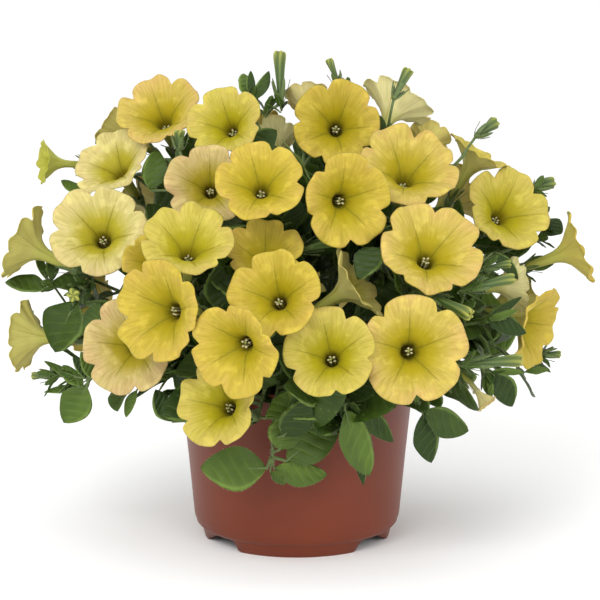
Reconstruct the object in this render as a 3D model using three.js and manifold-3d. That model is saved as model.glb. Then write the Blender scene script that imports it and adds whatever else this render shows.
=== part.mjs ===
// A potted petunia: a plastic nursery pot filled with soil, leafy stems that stand in the
// soil, and yellow blooms on their stalks. Millimetres, +Z up, the front faces -Y.
// The pot stands on z = 0, and the box round the whole object is centred over the origin.

import * as THREE from 'three';
import { mergeVertices } from 'three/addons/utils/BufferGeometryUtils.js';
import Module from 'manifold-3d';

const wasm = await Module();
wasm.setup();

// Clearance between neighbours that touch in the real plant
const GAP = 0.3;

// Points of a joined solid that lie nearer than this become one
const WELD = 0.02;

// Pot
const POT_HEIGHT = 94;
const POT_RIM_RADIUS = 66.2;
const COLLAR_HEIGHT = 13.5;
const COLLAR_STEP = 1.5;
const WALL_FOOT_RADIUS = 57.3;
const WALL_TOP_RADIUS = 64;
const WALL_THICKNESS = 1.5;
const FOOT_RADIUS = 51.7;
const FOOT_HEIGHT = 6.3;
const FOOT_WIDTH = 2.3;
const FLOOR_BOTTOM = 6.8;
const FLOOR_TOP = 8.2;
const POT_SIDES = 24;
const SOIL_SIDES = 13;
const NOTCH_AZIMUTHS = [50, 130, 230, 310];
const DRAIN_RADIUS = 4;
const DRAIN_RING_RADIUS = 42;

// Soil
const SOIL_EDGE_HEIGHT = 81;
const SOIL_CENTRE_HEIGHT = 85;
const HOLE_DEPTH = 16;

// Stems: seven trunks in a ring and one in the middle, each with its shoots
const SIDE_TRUNKS = 7;
const TRUNK_RADIUS = 2.1;
const TRUNK_RING_RADIUS = 26;
const HOLE_RADIUS = TRUNK_RADIUS + 1.4;
const SHOOT_RADIUS = 1.1;
const SHOOT_STRETCHES = 4;
const SHOOT_RISE = 45;
const SHOOT_LEAD = 22;
const CROWN_REACH = 62;
const CROWN_HEIGHT = 180;

// Leaves
const BLADE_THICKNESS = 0.7;
const BLADE_FOLD = 0.22;
const BLADE_CURL = 0.12;
const LARGE_LEAF_WIDTH = 8;
const LOWEST_LEAF_TIP = 30;

// Blooms, for one of 51 mm across: how far out and how high each ring of the funnel lies
const FULL_BLOOM = 51;
const FULL_LENGTH = 36.3;
const LOBES = 5;
const TUBE_BASE = { radius: 2.3, height: 3 };
const THROAT = { radius: 4.2, height: 17.5 };
const FLARE = { radius: 12.2, height: 29 };
const PETAL_THICKNESS = 0.8;
const CALYX_DEPTH = 7;
const SEPAL_LENGTH = 9;

// The dome that the blooms lie on
const DOME_CENTRE = new THREE.Vector3(0, 0, 118);
const DOME_REACH = 138;
const DOME_RISE = 122;

// The plant is laid out as it is seen from the front, 11 degrees above level: u runs to the
// right, v up and depth towards the viewer, in millimetres from the middle of the pot's foot.
const VIEW_RISE = THREE.MathUtils.degToRad(11);
const VIEW_DISTANCE = 1600;
const VIEW_CENTRE = { u: 1.7, v: 130.5 };
const VIEW_RIGHT = new THREE.Vector3(1, 0, 0);
const VIEW_UP = new THREE.Vector3(0, Math.sin(VIEW_RISE), Math.cos(VIEW_RISE));
const VIEW_TOWARD = new THREE.Vector3(0, -Math.cos(VIEW_RISE), Math.sin(VIEW_RISE));

// Blooms that show from the front. Each row: u, v and depth of the rim's centre, the way it
// faces (right, up, toward), its diameter, its tube's length, one vein's angle, its colour
const FRONT_BLOOMS = [
  [-78, 238, 26, -0.21, 0.57, 0.79, 48, 35, 110, 'peach'],
  [-41, 231, 54, -0.29, 0.36, 0.88, 42, 32, 105, 'lemon'],
  [-105, 209, 26, -0.43, 0.6, 0.67, 46, 33, 104, 'cream'],
  [-112, 170, 62, -0.14, 0.4, 0.9, 53, 36, 136, 'cream'],
  [-50, 196, 74, -0.07, 0.3, 0.95, 46, 33, 90, 'beige'],
  [-21, 198, 108, -0.05, 0.45, 0.89, 48, 32, 106, 'gold'],
  [-61, 165, 118, 0.05, 0.65, 0.76, 49, 35, 72, 'lemon'],
  [-18, 159, 100, 0, 0.6, 0.8, 42, 31, 90, 'gold'],
  [22, 230, 46, 0, 0.2, 0.98, 48, 35, 67, 'gold'],
  [63, 207, 70, 0.14, 0.62, 0.77, 54, 37, 48, 'peach'],
  [29, 186, 104, 0.32, -0.05, 0.95, 49, 35, 95, 'gold'],
  [119, 182, 28, 0.36, 0.36, 0.86, 49, 35, 66, 'lemon'],
  [76, 160, 104, 0.2, 0.5, 0.84, 55, 37, 112, 'peach'],
  [-13, 134, 138, -0.2, 0.33, 0.92, 48, 35, 96, 'gold'],
  [-79, 124, 136, -0.6, 0, 0.8, 54, 37, 77, 'gold'],
  [-96, 104, 98, -0.3, 0, 0.95, 50, 36, 100, 'beige'],
  [-36, 102, 156, -0.45, -0.25, 0.86, 48, 35, 62, 'gold'],
  [-46, 73, 130, -0.5, 0.25, 0.83, 48, 35, 104, 'lemon'],
  [18, 101, 138, -0.1, 0.28, 0.95, 48, 35, 101, 'lemon'],
  [66, 102, 130, 0.15, 0.05, 0.99, 56, 37, 94, 'peach'],
  [-143, 208, 10, -0.93, 0.05, 0.3, 26, 28, 90, 'lime'],
  [-155, 163, 18, -0.87, 0.45, -0.2, 45, 34, 90, 'lemon'],
  [-154, 110, 18, -0.95, 0.05, -0.3, 40, 33, 100, 'lemon'],
  [160, 160, 14, 0.93, 0.33, 0.1, 42, 34, 90, 'gold'],
  [136, 114, 52, 0.85, -0.3, 0.42, 46, 35, 60, 'gold'],
  [103, 214, 14, 0.5, 0.82, 0.14, 38, 32, 90, 'lemon'],
  [57, 243, 24, 0.45, 0.85, -0.35, 42, 33, 70, 'cream'],
  [36, 141, 92, 0.8, 0.5, 0.2, 44, 36, 60, 'khaki'],
  [-83, 152, 78, -0.3, 0.2, 0.93, 32, 28, 100, 'gold'],
  [-104, 230, -6, -0.78, 0.55, -0.25, 30, 30, 90, 'khaki'],
  [123.5, 139, 34, 0.92, 0.12, -0.38, 32, 30, 90, 'cream'],
  [107, 72, 84, 0.6, -0.75, 0.2, 12, 24, 90, 'beige'],
  [-15, 221, 2, -0.3, 0.5, -0.8, 30, 30, 90, 'cream'],
  [8, 244, 22, 0.1, 0.8, -0.5, 30, 30, 80, 'beige'],
  [75, 222, 2, 0.3, 0.5, -0.7, 24, 26, 80, 'peach'],
];

// Blooms on the sides and back. Each row: azimuth round the pot from the front and height
// angle over the dome's centre in degrees, diameter, one vein's angle, its colour
const BACK_BLOOMS = [
  [112, 2, 48, 80, 'lemon'],
  [143, 4, 50, 110, 'gold'],
  [174, -4, 52, 95, 'peach'],
  [207, 2, 48, 70, 'lemon'],
  [241, -2, 50, 100, 'gold'],
  [126, 33, 52, 60, 'peach'],
  [159, 30, 48, 100, 'lemon'],
  [192, 33, 53, 85, 'gold'],
  [225, 31, 49, 120, 'cream'],
  [250, 22, 50, 95, 'lemon'],
  [146, 57, 48, 75, 'gold'],
  [206, 58, 50, 90, 'peach'],
];

// Closed buds that show from the front. Each row: u, v and depth of the base, then of the
// tip, and the width
const BUDS = [
  [-9, 240, 34, -10, 270, 28, 8],
  [24, 250, 28, 18, 266, 28, 5],
  [54, 243, 34, 63, 260, 28, 7],
  [100, 222, 30, 112, 231, 24, 8],
  [133, 193, 10, 144, 197, 4, 8],
  [0, 158, 100, 27, 165, 116, 8],
  [73, 134, 122, 98, 122, 136, 8],
  [94, 136, 96, 122, 143, 90, 7],
  [104, 148, 66, 120, 151, 62, 5],
  [93, 94, 104, 126, 97, 92, 8],
  [137, 100, 22, 148, 100, 18, 5],
  [-136, 88, 36, -149, 88, 32, 5],
  [-66, 214, 70, -66, 226, 72, 7],
  [-122, 136, 58, -126, 133, 66, 9],
];

// Leafy side shoots that show from the front: u, v and depth of each shoot's tip
const SIDE_SHOOTS = [
  [-14, 38, 92],
  [28, 72, 112],
  [69, 69, 104],
  [107, 89, 74],
  [106, 118, 76],
  [129, 147, 8],
  [-139, 139, 16],
  [-118, 83, 46],
  [-26, 242, 26],
  [53, 230, 42],
  [138, 166, 6],
  [30, 243, 12],
  [95, 213, 36],
  [-64, 203, 58],
];

// Leafy side shoots round the sides and back: azimuth and height angle of each tip
const BACK_SHOOTS = [
  [95, -14],
  [128, -20],
  [158, -22],
  [190, -24],
  [224, -20],
  [258, -16],
  [104, 20],
  [141, 17],
  [175, 15],
  [208, 16],
  [236, 14],
  [178, 46],
  [232, 48],
];

// Leaves that show from the front. Each row: u, v and depth of the base, then of the tip,
// the width, and how far the blade is rolled about its rib in degrees
const FRONT_LEAVES = [
  [-17, 36, 93, -54, 36, 98, 24, -25],
  [-10, 46, 94, -3, 67, 102, 18, 20],
  [-6, 40, 91, 24, 60, 92, 22, 20],
  [-13, 36, 90, 18, 32, 84, 14, 25],
  [-15, 34, 92, -6, 27, 92, 6, 0],
  [27, 69, 112, 44, 31, 100, 20, -15],
  [28, 68, 109, 39, 24, 92, 9, 0],
  [29, 72, 108, 56, 50, 96, 12, 15],
  [26, 72, 113, -4, 66, 116, 12, 0],
  [29, 74, 114, 46, 87, 120, 12, -10],
  [71, 67, 103, 77, 38, 96, 15, -10],
  [71, 68, 104, 98, 57, 96, 16, 15],
  [67, 72, 104, 68, 90, 108, 5, 0],
  [110, 89, 73, 122, 70, 68, 14, 10],
  [105, 87, 75, 110, 76, 76, 6, 0],
  [109, 90, 73, 129, 91, 64, 5, 0],
  [107, 118, 75, 130, 113, 68, 12, 0],
  [107, 120, 75, 127, 134, 66, 5, 0],
  [107, 119, 77, 124, 126, 76, 5, 0],
  [110, 157, 46, 125, 143, 48, 8, 0],
  [139, 167, 6, 148, 177, 0, 13, 0],
  [130, 148, 8, 145, 152, 4, 5, 0],
  [129, 149, 8, 140, 156, 4, 5, 0],
  [128, 90, 40, 142, 92, 36, 5, 0],
  [-140, 137, 16, -165, 142, 10, 12, 0],
  [-138, 140, 18, -118, 147, 32, 12, -15],
  [-124, 130, 32, -138, 102, 34, 30, 20],
  [-138, 141, 15, -137, 160, 10, 8, 0],
  [-140, 141, 14, -147, 162, 8, 5, 0],
  [-124, 148, 34, -109, 151, 40, 7, 0],
  [-118, 82, 46, -132, 61, 42, 19, -10],
  [-120, 82, 45, -132, 95, 38, 9, 0],
  [-121, 84, 44, -143, 98, 34, 5, 0],
  [-120, 81, 45, -144, 80, 34, 5, 0],
  [-118, 86, 46, -126, 99, 44, 6, 0],
  [-114, 86, 48, -121, 101, 52, 8, 0],
  [-90, 80, 78, -97, 64, 74, 6, 0],
  [-70, 62, 92, -79, 80, 96, 12, 0],
  [-120, 190, 8, -133, 199, 2, 7, 0],
  [-28, 244, 26, -29, 259, 18, 12, 30],
  [-25, 244, 28, -26, 260, 26, 5, 0],
  [-24, 243, 28, -16, 260, 26, 7, 0],
  [-30, 213, 40, -12, 227, 40, 17, 0],
  [-82, 192, 40, -79, 216, 34, 14, 0],
  [-43, 124, 104, -44, 150, 104, 15, 0],
  [47, 160, 98, 34, 143, 104, 15, 0],
  [50, 222, 36, 40, 239, 30, 9, 0],
  [12, 66, 108, 24, 84, 112, 11, 0],
  [-18, 64, 104, 4, 80, 110, 13, 0],
  [92, 130, 78, 112, 146, 66, 12, 0],
  [-108, 126, 70, -122, 116, 62, 12, 0],
];

// Leaves that fill the gaps, by rule: how many are tried on each kind of shoot, the range of
// their lengths, their width as a share of it, and the turns tried
const FRONT_TRIES = 1;
const BACK_TRIES = 1;
const LEAFY_TRIES = 3;
const LEAF_LENGTHS = [28, 42];
const LEAF_ROUNDNESS = 0.5;
const GOLDEN_ANGLE = 2.4;
const LEAF_TURNS = [0, 0.7, -0.7];

const COLOURS = {
  lemon: 0xd9c64a,
  gold: 0xdcbc42,
  peach: 0xe0bf62,
  cream: 0xe2d588,
  beige: 0xdcc084,
  khaki: 0xc9bc6c,
  lime: 0xc2c456,
  leaf: 0x3f7336,
  pot: 0x80402c,
  soil: 0x33241a,
};

function randomDraws(seed) {
  let state = seed;
  return () => {
    state = (state + 0x6d2b79f5) | 0;
    let mixed = Math.imul(state ^ (state >>> 15), 1 | state);
    mixed = (mixed + Math.imul(mixed ^ (mixed >>> 7), 61 | mixed)) ^ mixed;
    return ((mixed ^ (mixed >>> 14)) >>> 0) / 4294967296;
  };
}

function blend(right, up, toward) {
  return new THREE.Vector3()
    .addScaledVector(VIEW_RIGHT, right)
    .addScaledVector(VIEW_UP, up)
    .addScaledVector(VIEW_TOWARD, toward);
}

function seen(u, v, depth) {
  const shrink = 1 - depth / VIEW_DISTANCE;
  const across = VIEW_CENTRE.u + (u - VIEW_CENTRE.u) * shrink;
  const above = VIEW_CENTRE.v + (v - VIEW_CENTRE.v) * shrink;
  return blend(across, above, depth);
}

function squareTo(vector, axis) {
  return vector.clone().addScaledVector(axis, -vector.dot(axis)).normalize();
}

// Solids

function solidFrom(points, faces) {
  const vertProperties = new Float32Array(points.flatMap((point) => [point.x, point.y, point.z]));
  const triVerts = new Uint32Array(faces.flat());
  return new wasm.Manifold(new wasm.Mesh({ numProp: 3, vertProperties, triVerts }));
}

function solidOf(geometry) {
  geometry.deleteAttribute('normal');
  geometry.deleteAttribute('uv');
  const merged = mergeVertices(geometry, 1e-3);
  const place = new THREE.Vector3();
  const points = [];
  for (let i = 0; i < merged.attributes.position.count; i += 1) {
    points.push(place.fromBufferAttribute(merged.attributes.position, i).clone());
  }
  const faces = [];
  for (let i = 0; i < merged.index.count; i += 3) {
    const [a, b, c] = [0, 1, 2].map((step) => merged.index.getX(i + step));
    if (a !== b && b !== c && c !== a) faces.push([a, b, c]);
  }
  return solidFrom(points, faces);
}

function geometryOf(solid) {
  const mesh = solid.getMesh();
  const geometry = new THREE.BufferGeometry();
  geometry.setAttribute('position', new THREE.BufferAttribute(mesh.vertProperties, 3));
  geometry.setIndex(new THREE.BufferAttribute(mesh.triVerts, 1));
  geometry.computeVertexNormals();
  return geometry;
}

function turnedSolid(profile, sides) {
  const outline = profile.map(([radius, height]) => new THREE.Vector2(radius, height));
  return solidOf(new THREE.LatheGeometry(outline, sides).rotateX(Math.PI / 2));
}

// Faces between two rings of points, the upper with as many points as the lower or twice
function stitch(faces, lower, upper, outward) {
  const turn = (a, b, c) => faces.push(outward ? [a, b, c] : [a, c, b]);
  const n = lower.length;
  for (let i = 0; i < n; i += 1) {
    const next = (i + 1) % n;
    if (upper.length === n) {
      turn(lower[i], lower[next], upper[next]);
      turn(lower[i], upper[next], upper[i]);
    } else {
      turn(lower[i], upper[2 * i + 1], upper[2 * i]);
      turn(lower[i], lower[next], upper[2 * i + 1]);
      turn(lower[next], upper[(2 * i + 2) % (2 * n)], upper[2 * i + 1]);
    }
  }
}

function fan(faces, ring, outward) {
  for (let i = 1; i + 1 < ring.length; i += 1) {
    faces.push(outward ? [ring[0], ring[i], ring[i + 1]] : [ring[0], ring[i + 1], ring[i]]);
  }
}

function cone(faces, ring, apex, outward) {
  ring.forEach((corner, i) => {
    const next = ring[(i + 1) % ring.length];
    faces.push(outward ? [corner, next, apex] : [corner, apex, next]);
  });
}

// Points are kept on rings round an axis: frame.place(angle, radius, height)
function axialFrame(base, axis, firstSide) {
  const side = squareTo(firstSide, axis);
  const third = axis.clone().cross(side);
  const place = (angle, radius, height) => base
    .clone()
    .addScaledVector(axis, height)
    .addScaledVector(side, radius * Math.cos(angle))
    .addScaledVector(third, radius * Math.sin(angle));
  return { axis, side, place };
}

function addRing(points, count, at) {
  const ring = [];
  for (let i = 0; i < count; i += 1) {
    points.push(at(i, (2 * Math.PI * i) / count));
    ring.push(points.length - 1);
  }
  return ring;
}

// A rod with flat sides round a line of points
function rodSolid(line, radius, sides) {
  const points = [];
  const faces = [];
  let side = new THREE.Vector3(0.6, 0.5, 0.3);
  const rings = line.map((place, i) => {
    const before = line[Math.max(i - 1, 0)];
    const after = line[Math.min(i + 1, line.length - 1)];
    const frame = axialFrame(place, after.clone().sub(before).normalize(), side);
    side = frame.side;
    return addRing(points, sides, (corner, angle) => frame.place(angle, radius, 0));
  });
  fan(faces, rings[0], false);
  for (let i = 1; i < rings.length; i += 1) stitch(faces, rings[i - 1], rings[i], true);
  fan(faces, rings[rings.length - 1], true);
  return solidFrom(points, faces);
}

// A point part of the way along a line of points, by the number of its stretches
function pointAlong(line, share) {
  const stretch = Math.min(share * (line.length - 1), line.length - 1.0001);
  const first = Math.floor(stretch);
  return line[first].clone().lerp(line[first + 1], stretch - first);
}

// Pot and soil

function notchSolid(azimuth) {
  const mirrored = azimuth % 180 > 90 ? -1 : 1;
  const outline = [[-11, -1], [-6.2, FOOT_HEIGHT + 0.2], [6.4, FOOT_HEIGHT + 0.2], [22, -1]];
  const shape = new THREE.Shape(outline.map(([along, up]) => new THREE.Vector2(along * mirrored, up)));
  const wedge = new THREE.ExtrudeGeometry(shape, { depth: 16, bevelEnabled: false });
  wedge.rotateX(Math.PI / 2);
  wedge.translate(0, -FOOT_RADIUS + 8, 0);
  wedge.rotateZ(THREE.MathUtils.degToRad(azimuth));
  return solidOf(wedge);
}

function drainSolid(azimuth) {
  const drain = new THREE.CylinderGeometry(DRAIN_RADIUS, DRAIN_RADIUS, 6, 8).rotateX(Math.PI / 2);
  drain.translate(0, -DRAIN_RING_RADIUS, (FLOOR_BOTTOM + FLOOR_TOP) / 2);
  drain.rotateZ(THREE.MathUtils.degToRad(azimuth));
  return solidOf(drain);
}

function potSolid() {
  const collarFoot = POT_HEIGHT - COLLAR_HEIGHT;
  const wall = turnedSolid([
    [0, FLOOR_BOTTOM],
    [FOOT_RADIUS - FOOT_WIDTH, FLOOR_BOTTOM],
    [FOOT_RADIUS - FOOT_WIDTH, 0],
    [FOOT_RADIUS, 0],
    [FOOT_RADIUS + 1.6, FOOT_HEIGHT],
    [WALL_FOOT_RADIUS - 1, FOOT_HEIGHT + 2.2],
    [WALL_FOOT_RADIUS, FOOT_HEIGHT + 6],
    [WALL_TOP_RADIUS, collarFoot - 0.5],
    [WALL_TOP_RADIUS + COLLAR_STEP, collarFoot],
    [POT_RIM_RADIUS, POT_HEIGHT],
    [POT_RIM_RADIUS - WALL_THICKNESS, POT_HEIGHT],
    [WALL_TOP_RADIUS - WALL_THICKNESS, collarFoot],
    [WALL_FOOT_RADIUS - 2 * WALL_THICKNESS, FLOOR_TOP + 1],
    [0, FLOOR_TOP],
  ], POT_SIDES);
  const cuts = NOTCH_AZIMUTHS.flatMap((azimuth) => [notchSolid(azimuth), drainSolid(azimuth)]);
  return wasm.Manifold.difference([wall, ...cuts]);
}

function soilSolid(holes) {
  const foot = WALL_FOOT_RADIUS - 2 * WALL_THICKNESS - 3 * GAP;
  const edge = WALL_TOP_RADIUS - WALL_THICKNESS - 3 * GAP;
  const body = turnedSolid([
    [0, FLOOR_TOP + GAP],
    [foot - 1, FLOOR_TOP + 1 + GAP],
    [edge - 0.5, SOIL_EDGE_HEIGHT - 4],
    [edge - 4, SOIL_EDGE_HEIGHT],
    [0, SOIL_CENTRE_HEIGHT],
  ], SOIL_SIDES);
  const cuts = holes.map(({ x, y, z }) => {
    const height = 40;
    const hole = new THREE.CylinderGeometry(HOLE_RADIUS, HOLE_RADIUS, height, 5);
    hole.rotateX(Math.PI / 2).translate(x, y, z - GAP + height / 2);
    return solidOf(hole);
  });
  return wasm.Manifold.difference([body, ...cuts]);
}

// Blooms

// Each bloom's own small differences: how far each lobe reaches and how high it lies
function lobeDraws(number) {
  const draw = randomDraws(100 + number);
  const lobes = [];
  for (let i = 0; i < LOBES; i += 1) {
    lobes.push({ reach: 0.96 + 0.07 * draw(), lift: 2.4 * (draw() - 0.5) });
  }
  return lobes;
}

function corollaSolid(bloom) {
  const { frame, number } = bloom;
  const wide = bloom.diameter / FULL_BLOOM;
  const long = bloom.length / FULL_LENGTH;
  const lobes = lobeDraws(number);
  const points = [];
  const faces = [];
  const funnel = (size, ring, lift) => addRing(points, size, (i, angle) => (
    frame.place(angle, ring.radius * wide, ring.height * long + lift)));
  const rimPoint = (i, angle, lift) => {
    const lobe = lobes[Math.floor((i + 2) / 4) % LOBES];
    const nextLobe = lobes[Math.floor(i / 4 + 1) % LOBES];
    const notch = i % 4 === 2;
    const reach = notch ? 0.88 : lobe.reach;
    const wave = notch ? (lobe.lift + nextLobe.lift) / 2 - 0.8 : lobe.lift;
    return frame.place(angle, (bloom.diameter / 2) * reach, bloom.length + wave + lift);
  };
  const tube = (i, angle) => frame.place(angle, TUBE_BASE.radius, TUBE_BASE.height);
  const base = addRing(points, LOBES, tube);
  const throat = funnel(LOBES, THROAT, 0);
  const flare = funnel(2 * LOBES, FLARE, 0);
  const rim = addRing(points, 4 * LOBES, (i, angle) => rimPoint(i, angle, 0));
  const innerRim = addRing(points, 4 * LOBES, (i, angle) => rimPoint(i, angle, PETAL_THICKNESS));
  const innerFlare = funnel(2 * LOBES, FLARE, 1.1);
  points.push(frame.place(0, 0, (THROAT.height + 2) * long));
  const throatFloor = points.length - 1;
  fan(faces, base, false);
  stitch(faces, base, throat, true);
  stitch(faces, throat, flare, true);
  stitch(faces, flare, rim, true);
  stitch(faces, rim, innerRim, true);
  stitch(faces, innerFlare, innerRim, false);
  cone(faces, innerFlare, throatFloor, true);
  return solidFrom(points, faces);
}

// The green cup under a bloom's tube, with five narrow sepals that stand between the lobes
function calyxSolid(frame) {
  const half = Math.PI / LOBES;
  const points = [frame.place(0, 0, -CALYX_DEPTH), frame.place(0, 0, -GAP)];
  const notches = addRing(points, LOBES, (i, angle) => frame.place(angle, 2.6, -1.2));
  const tips = addRing(points, LOBES, (i, angle) => frame.place(angle + half, 6.4, SEPAL_LENGTH));
  const faces = [];
  for (let i = 0; i < LOBES; i += 1) {
    const next = notches[(i + 1) % LOBES];
    faces.push([0, next, notches[i]], [notches[i], next, tips[i]]);
    faces.push([notches[i], tips[i], 1], [tips[i], next, 1]);
  }
  return solidFrom(points, faces);
}

function makeBloom(number, rimCentre, facing, diameter, length, vein, colour) {
  const axis = facing.clone().normalize();
  const turn = THREE.MathUtils.degToRad(vein);
  const inPicture = blend(Math.cos(turn), Math.sin(turn), 0);
  const base = rimCentre.clone().addScaledVector(axis, -length);
  return { number, diameter, length, colour, frame: axialFrame(base, axis, inPicture) };
}

// A point on the dome and the way it faces, from azimuth and height angle in degrees
function onDome(azimuth, height, share) {
  const turn = THREE.MathUtils.degToRad(azimuth);
  const rise = THREE.MathUtils.degToRad(height);
  const out = new THREE.Vector3(Math.sin(turn), -Math.cos(turn), 0);
  const point = DOME_CENTRE.clone().addScaledVector(out, share * DOME_REACH * Math.cos(rise));
  point.z += share * DOME_RISE * Math.sin(rise);
  const facing = out.clone().multiplyScalar(Math.cos(rise)).setZ(Math.sin(rise) + 0.12);
  return { point, facing };
}

function allBlooms() {
  const blooms = [];
  for (const [u, v, depth, right, up, toward, diameter, length, vein, colour] of FRONT_BLOOMS) {
    const facing = blend(right, up, toward);
    const centre = seen(u, v, depth);
    blooms.push(makeBloom(blooms.length + 1, centre, facing, diameter, length, vein, colour));
  }
  for (const [azimuth, height, diameter, vein, colour] of BACK_BLOOMS) {
    const { point, facing } = onDome(azimuth, height, 1);
    const length = (FULL_LENGTH * diameter) / FULL_BLOOM;
    blooms.push(makeBloom(blooms.length + 1, point, facing, diameter, length, vein, colour));
  }
  return blooms;
}

// Leaves and buds

function leafHalfWidth(leaf, t) {
  return (leaf.width / 2) * Math.sin(Math.PI * t ** 0.75) ** 0.8;
}

// A point of the blade: t along the rib from 0 to 1, side from -1 to 1 across it
function leafPoint(leaf, t, side, thickness) {
  const across = side * leafHalfWidth(leaf, t);
  const rise = BLADE_FOLD * Math.abs(across) - BLADE_CURL * leaf.length * t * t;
  return leaf.base
    .clone()
    .addScaledVector(leaf.along, leaf.length * t)
    .addScaledVector(leaf.across, across)
    .addScaledVector(leaf.normal, rise + thickness);
}

// Blade with four or six points on its edge, on a stalk that tapers to its root
function leafSolid(leaf, root) {
  const stations = leaf.large ? [0.2, 0.5, 0.8] : [0.3, 0.72];
  const ribs = leaf.large ? [0.35, 0.68] : [0.5];
  const last = stations.length - 1;
  const points = [root, leafPoint(leaf, 1, 0, 0)];
  const neck = [[1, 0], [0, -1.2], [-1, 0]].map(([across, down]) => {
    points.push(leafPoint(leaf, 0, 0, down * 0.9).addScaledVector(leaf.across, across * 0.9));
    return points.length - 1;
  });
  const grow = (t, side, level) => {
    points.push(leafPoint(leaf, t, side, (level - 0.5) * BLADE_THICKNESS));
    return points.length - 1;
  };
  const faces = [];
  const sheets = [0, 1].map((level) => ({
    left: stations.map((t) => grow(t, -1, level)),
    right: stations.map((t) => grow(t, 1, level)),
    rib: ribs.map((t) => grow(t, 0, level)),
  }));
  sheets.forEach(({ left, right, rib }, level) => {
    const turn = (a, b, c) => faces.push(level ? [a, b, c] : [a, c, b]);
    turn(neck[0], right[0], rib[0]);
    turn(neck[2], rib[0], left[0]);
    for (let i = 0; i < last; i += 1) {
      turn(right[i], right[i + 1], rib[Math.min(i, rib.length - 1)]);
      turn(left[i + 1], left[i], rib[Math.min(i, rib.length - 1)]);
      if (i + 1 < rib.length) {
        turn(rib[i], right[i + 1], rib[i + 1]);
        turn(rib[i], rib[i + 1], left[i + 1]);
      }
    }
    turn(1, rib[rib.length - 1], right[last]);
    turn(1, left[last], rib[rib.length - 1]);
  });
  const [lower, upper] = sheets;
  const [rightNeck, underNeck, leftNeck] = neck;
  faces.push([0, rightNeck, leftNeck], [0, underNeck, rightNeck], [0, leftNeck, underNeck]);
  faces.push([leftNeck, rightNeck, upper.rib[0]]);
  faces.push([rightNeck, underNeck, lower.rib[0]], [underNeck, leftNeck, lower.rib[0]]);
  faces.push([rightNeck, lower.right[0], upper.right[0]], [leftNeck, upper.left[0], lower.left[0]]);
  for (let i = 0; i < last; i += 1) {
    faces.push([lower.right[i], lower.right[i + 1], upper.right[i + 1]]);
    faces.push([lower.right[i], upper.right[i + 1], upper.right[i]]);
    faces.push([lower.left[i + 1], lower.left[i], upper.left[i]]);
    faces.push([lower.left[i + 1], upper.left[i], upper.left[i + 1]]);
  }
  faces.push([1, upper.right[last], lower.right[last]], [1, lower.left[last], upper.left[last]]);
  return solidFrom(points, faces);
}

function makeLeaf(base, tip, upward, width, roll, large) {
  const along = tip.clone().sub(base);
  const length = along.length();
  along.normalize();
  const normal = squareTo(upward, along).applyAxisAngle(along, THREE.MathUtils.degToRad(roll));
  const across = normal.clone().cross(along).negate();
  return { base, along, across, normal, length, width, large };
}

// A closed bud: a slim spindle in a cup of narrow sepals, on a stalk from its root
function budSolid(base, tip, width, root) {
  const axis = tip.clone().sub(base);
  const length = axis.length();
  const frame = axialFrame(base, axis.normalize(), new THREE.Vector3(0.3, 0.2, 1));
  const points = [root];
  const ring = (start, radius, height) => addRing(points, LOBES, (i, angle) => (
    frame.place(angle + start, radius, height)));
  const half = Math.PI / LOBES;
  const notches = ring(0, 1.3, 0.5);
  const inner = ring(half, 1.5, 2);
  const sepals = ring(half, 0.4 * width + 2.4, 0.42 * length);
  const waist = ring(0, 0.3 * width, 0.42 * length);
  const shoulder = ring(0, 0.46 * width, 0.82 * length);
  points.push(frame.place(0, 0, length));
  const faces = [];
  for (let i = 0; i < LOBES; i += 1) {
    const next = notches[(i + 1) % LOBES];
    const nextWaist = waist[(i + 1) % LOBES];
    faces.push([0, next, notches[i]], [notches[i], next, sepals[i]]);
    faces.push([notches[i], sepals[i], inner[i]], [next, inner[i], sepals[i]]);
    faces.push([notches[i], inner[i], waist[i]], [inner[i], next, nextWaist]);
    faces.push([inner[i], nextWaist, waist[i]]);
  }
  stitch(faces, waist, shoulder, true);
  cone(faces, shoulder, points.length - 1, true);
  return solidFrom(points, faces);
}

// Stems: trunks, shoots and what grows on them. Whatever grows later clears what stands.

const standing = [];

function boxesMeet(a, b) {
  return [0, 1, 2].every((i) => a.min[i] < b.max[i] + GAP && b.min[i] < a.max[i] + GAP);
}

function isClear(solid, ignored) {
  const box = solid.boundingBox();
  return standing.every((other) => ignored(other)
    || !boxesMeet(box, other.box) || solid.minGap(other.solid, 1) >= GAP);
}

function stand(solid, owner, kind) {
  standing.push({ solid, owner, kind, box: solid.boundingBox() });
}

function makeTrunks() {
  const trunks = [];
  for (let i = 0; i <= SIDE_TRUNKS; i += 1) {
    const central = i === SIDE_TRUNKS;
    const turn = (2 * Math.PI * i) / SIDE_TRUNKS;
    const out = new THREE.Vector3(Math.sin(turn), -Math.cos(turn), 0);
    const foot = SOIL_CENTRE_HEIGHT - 1 - HOLE_DEPTH;
    const at = (radius, height) => out.clone().multiplyScalar(central ? 0 : radius).setZ(height);
    const ring = TRUNK_RING_RADIUS;
    const line = [at(ring, foot), at(ring, foot + 24), at(ring + 12, 120), at(ring + 24, 155)];
    if (central) line.push(at(0, 190));
    trunks.push({ name: `leafy_stem_${i + 1}`, line, shoots: [], solids: [] });
  }
  return trunks;
}

function growTrunk(trunk) {
  const solid = rodSolid(trunk.line, TRUNK_RADIUS, 4);
  trunk.solids.push(solid);
  stand(solid, trunk.name, 'shoot');
}

// The trunk that a point belongs to: the central one near the top, else the one it faces
function trunkOf(trunks, point) {
  const reach = Math.hypot(point.x, point.y);
  if (reach < CROWN_REACH && point.z > CROWN_HEIGHT) return trunks[SIDE_TRUNKS];
  const bearing = Math.atan2(point.x, -point.y);
  const sector = Math.round((bearing / (2 * Math.PI)) * SIDE_TRUNKS);
  return trunks[(sector + SIDE_TRUNKS) % SIDE_TRUNKS];
}

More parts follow.
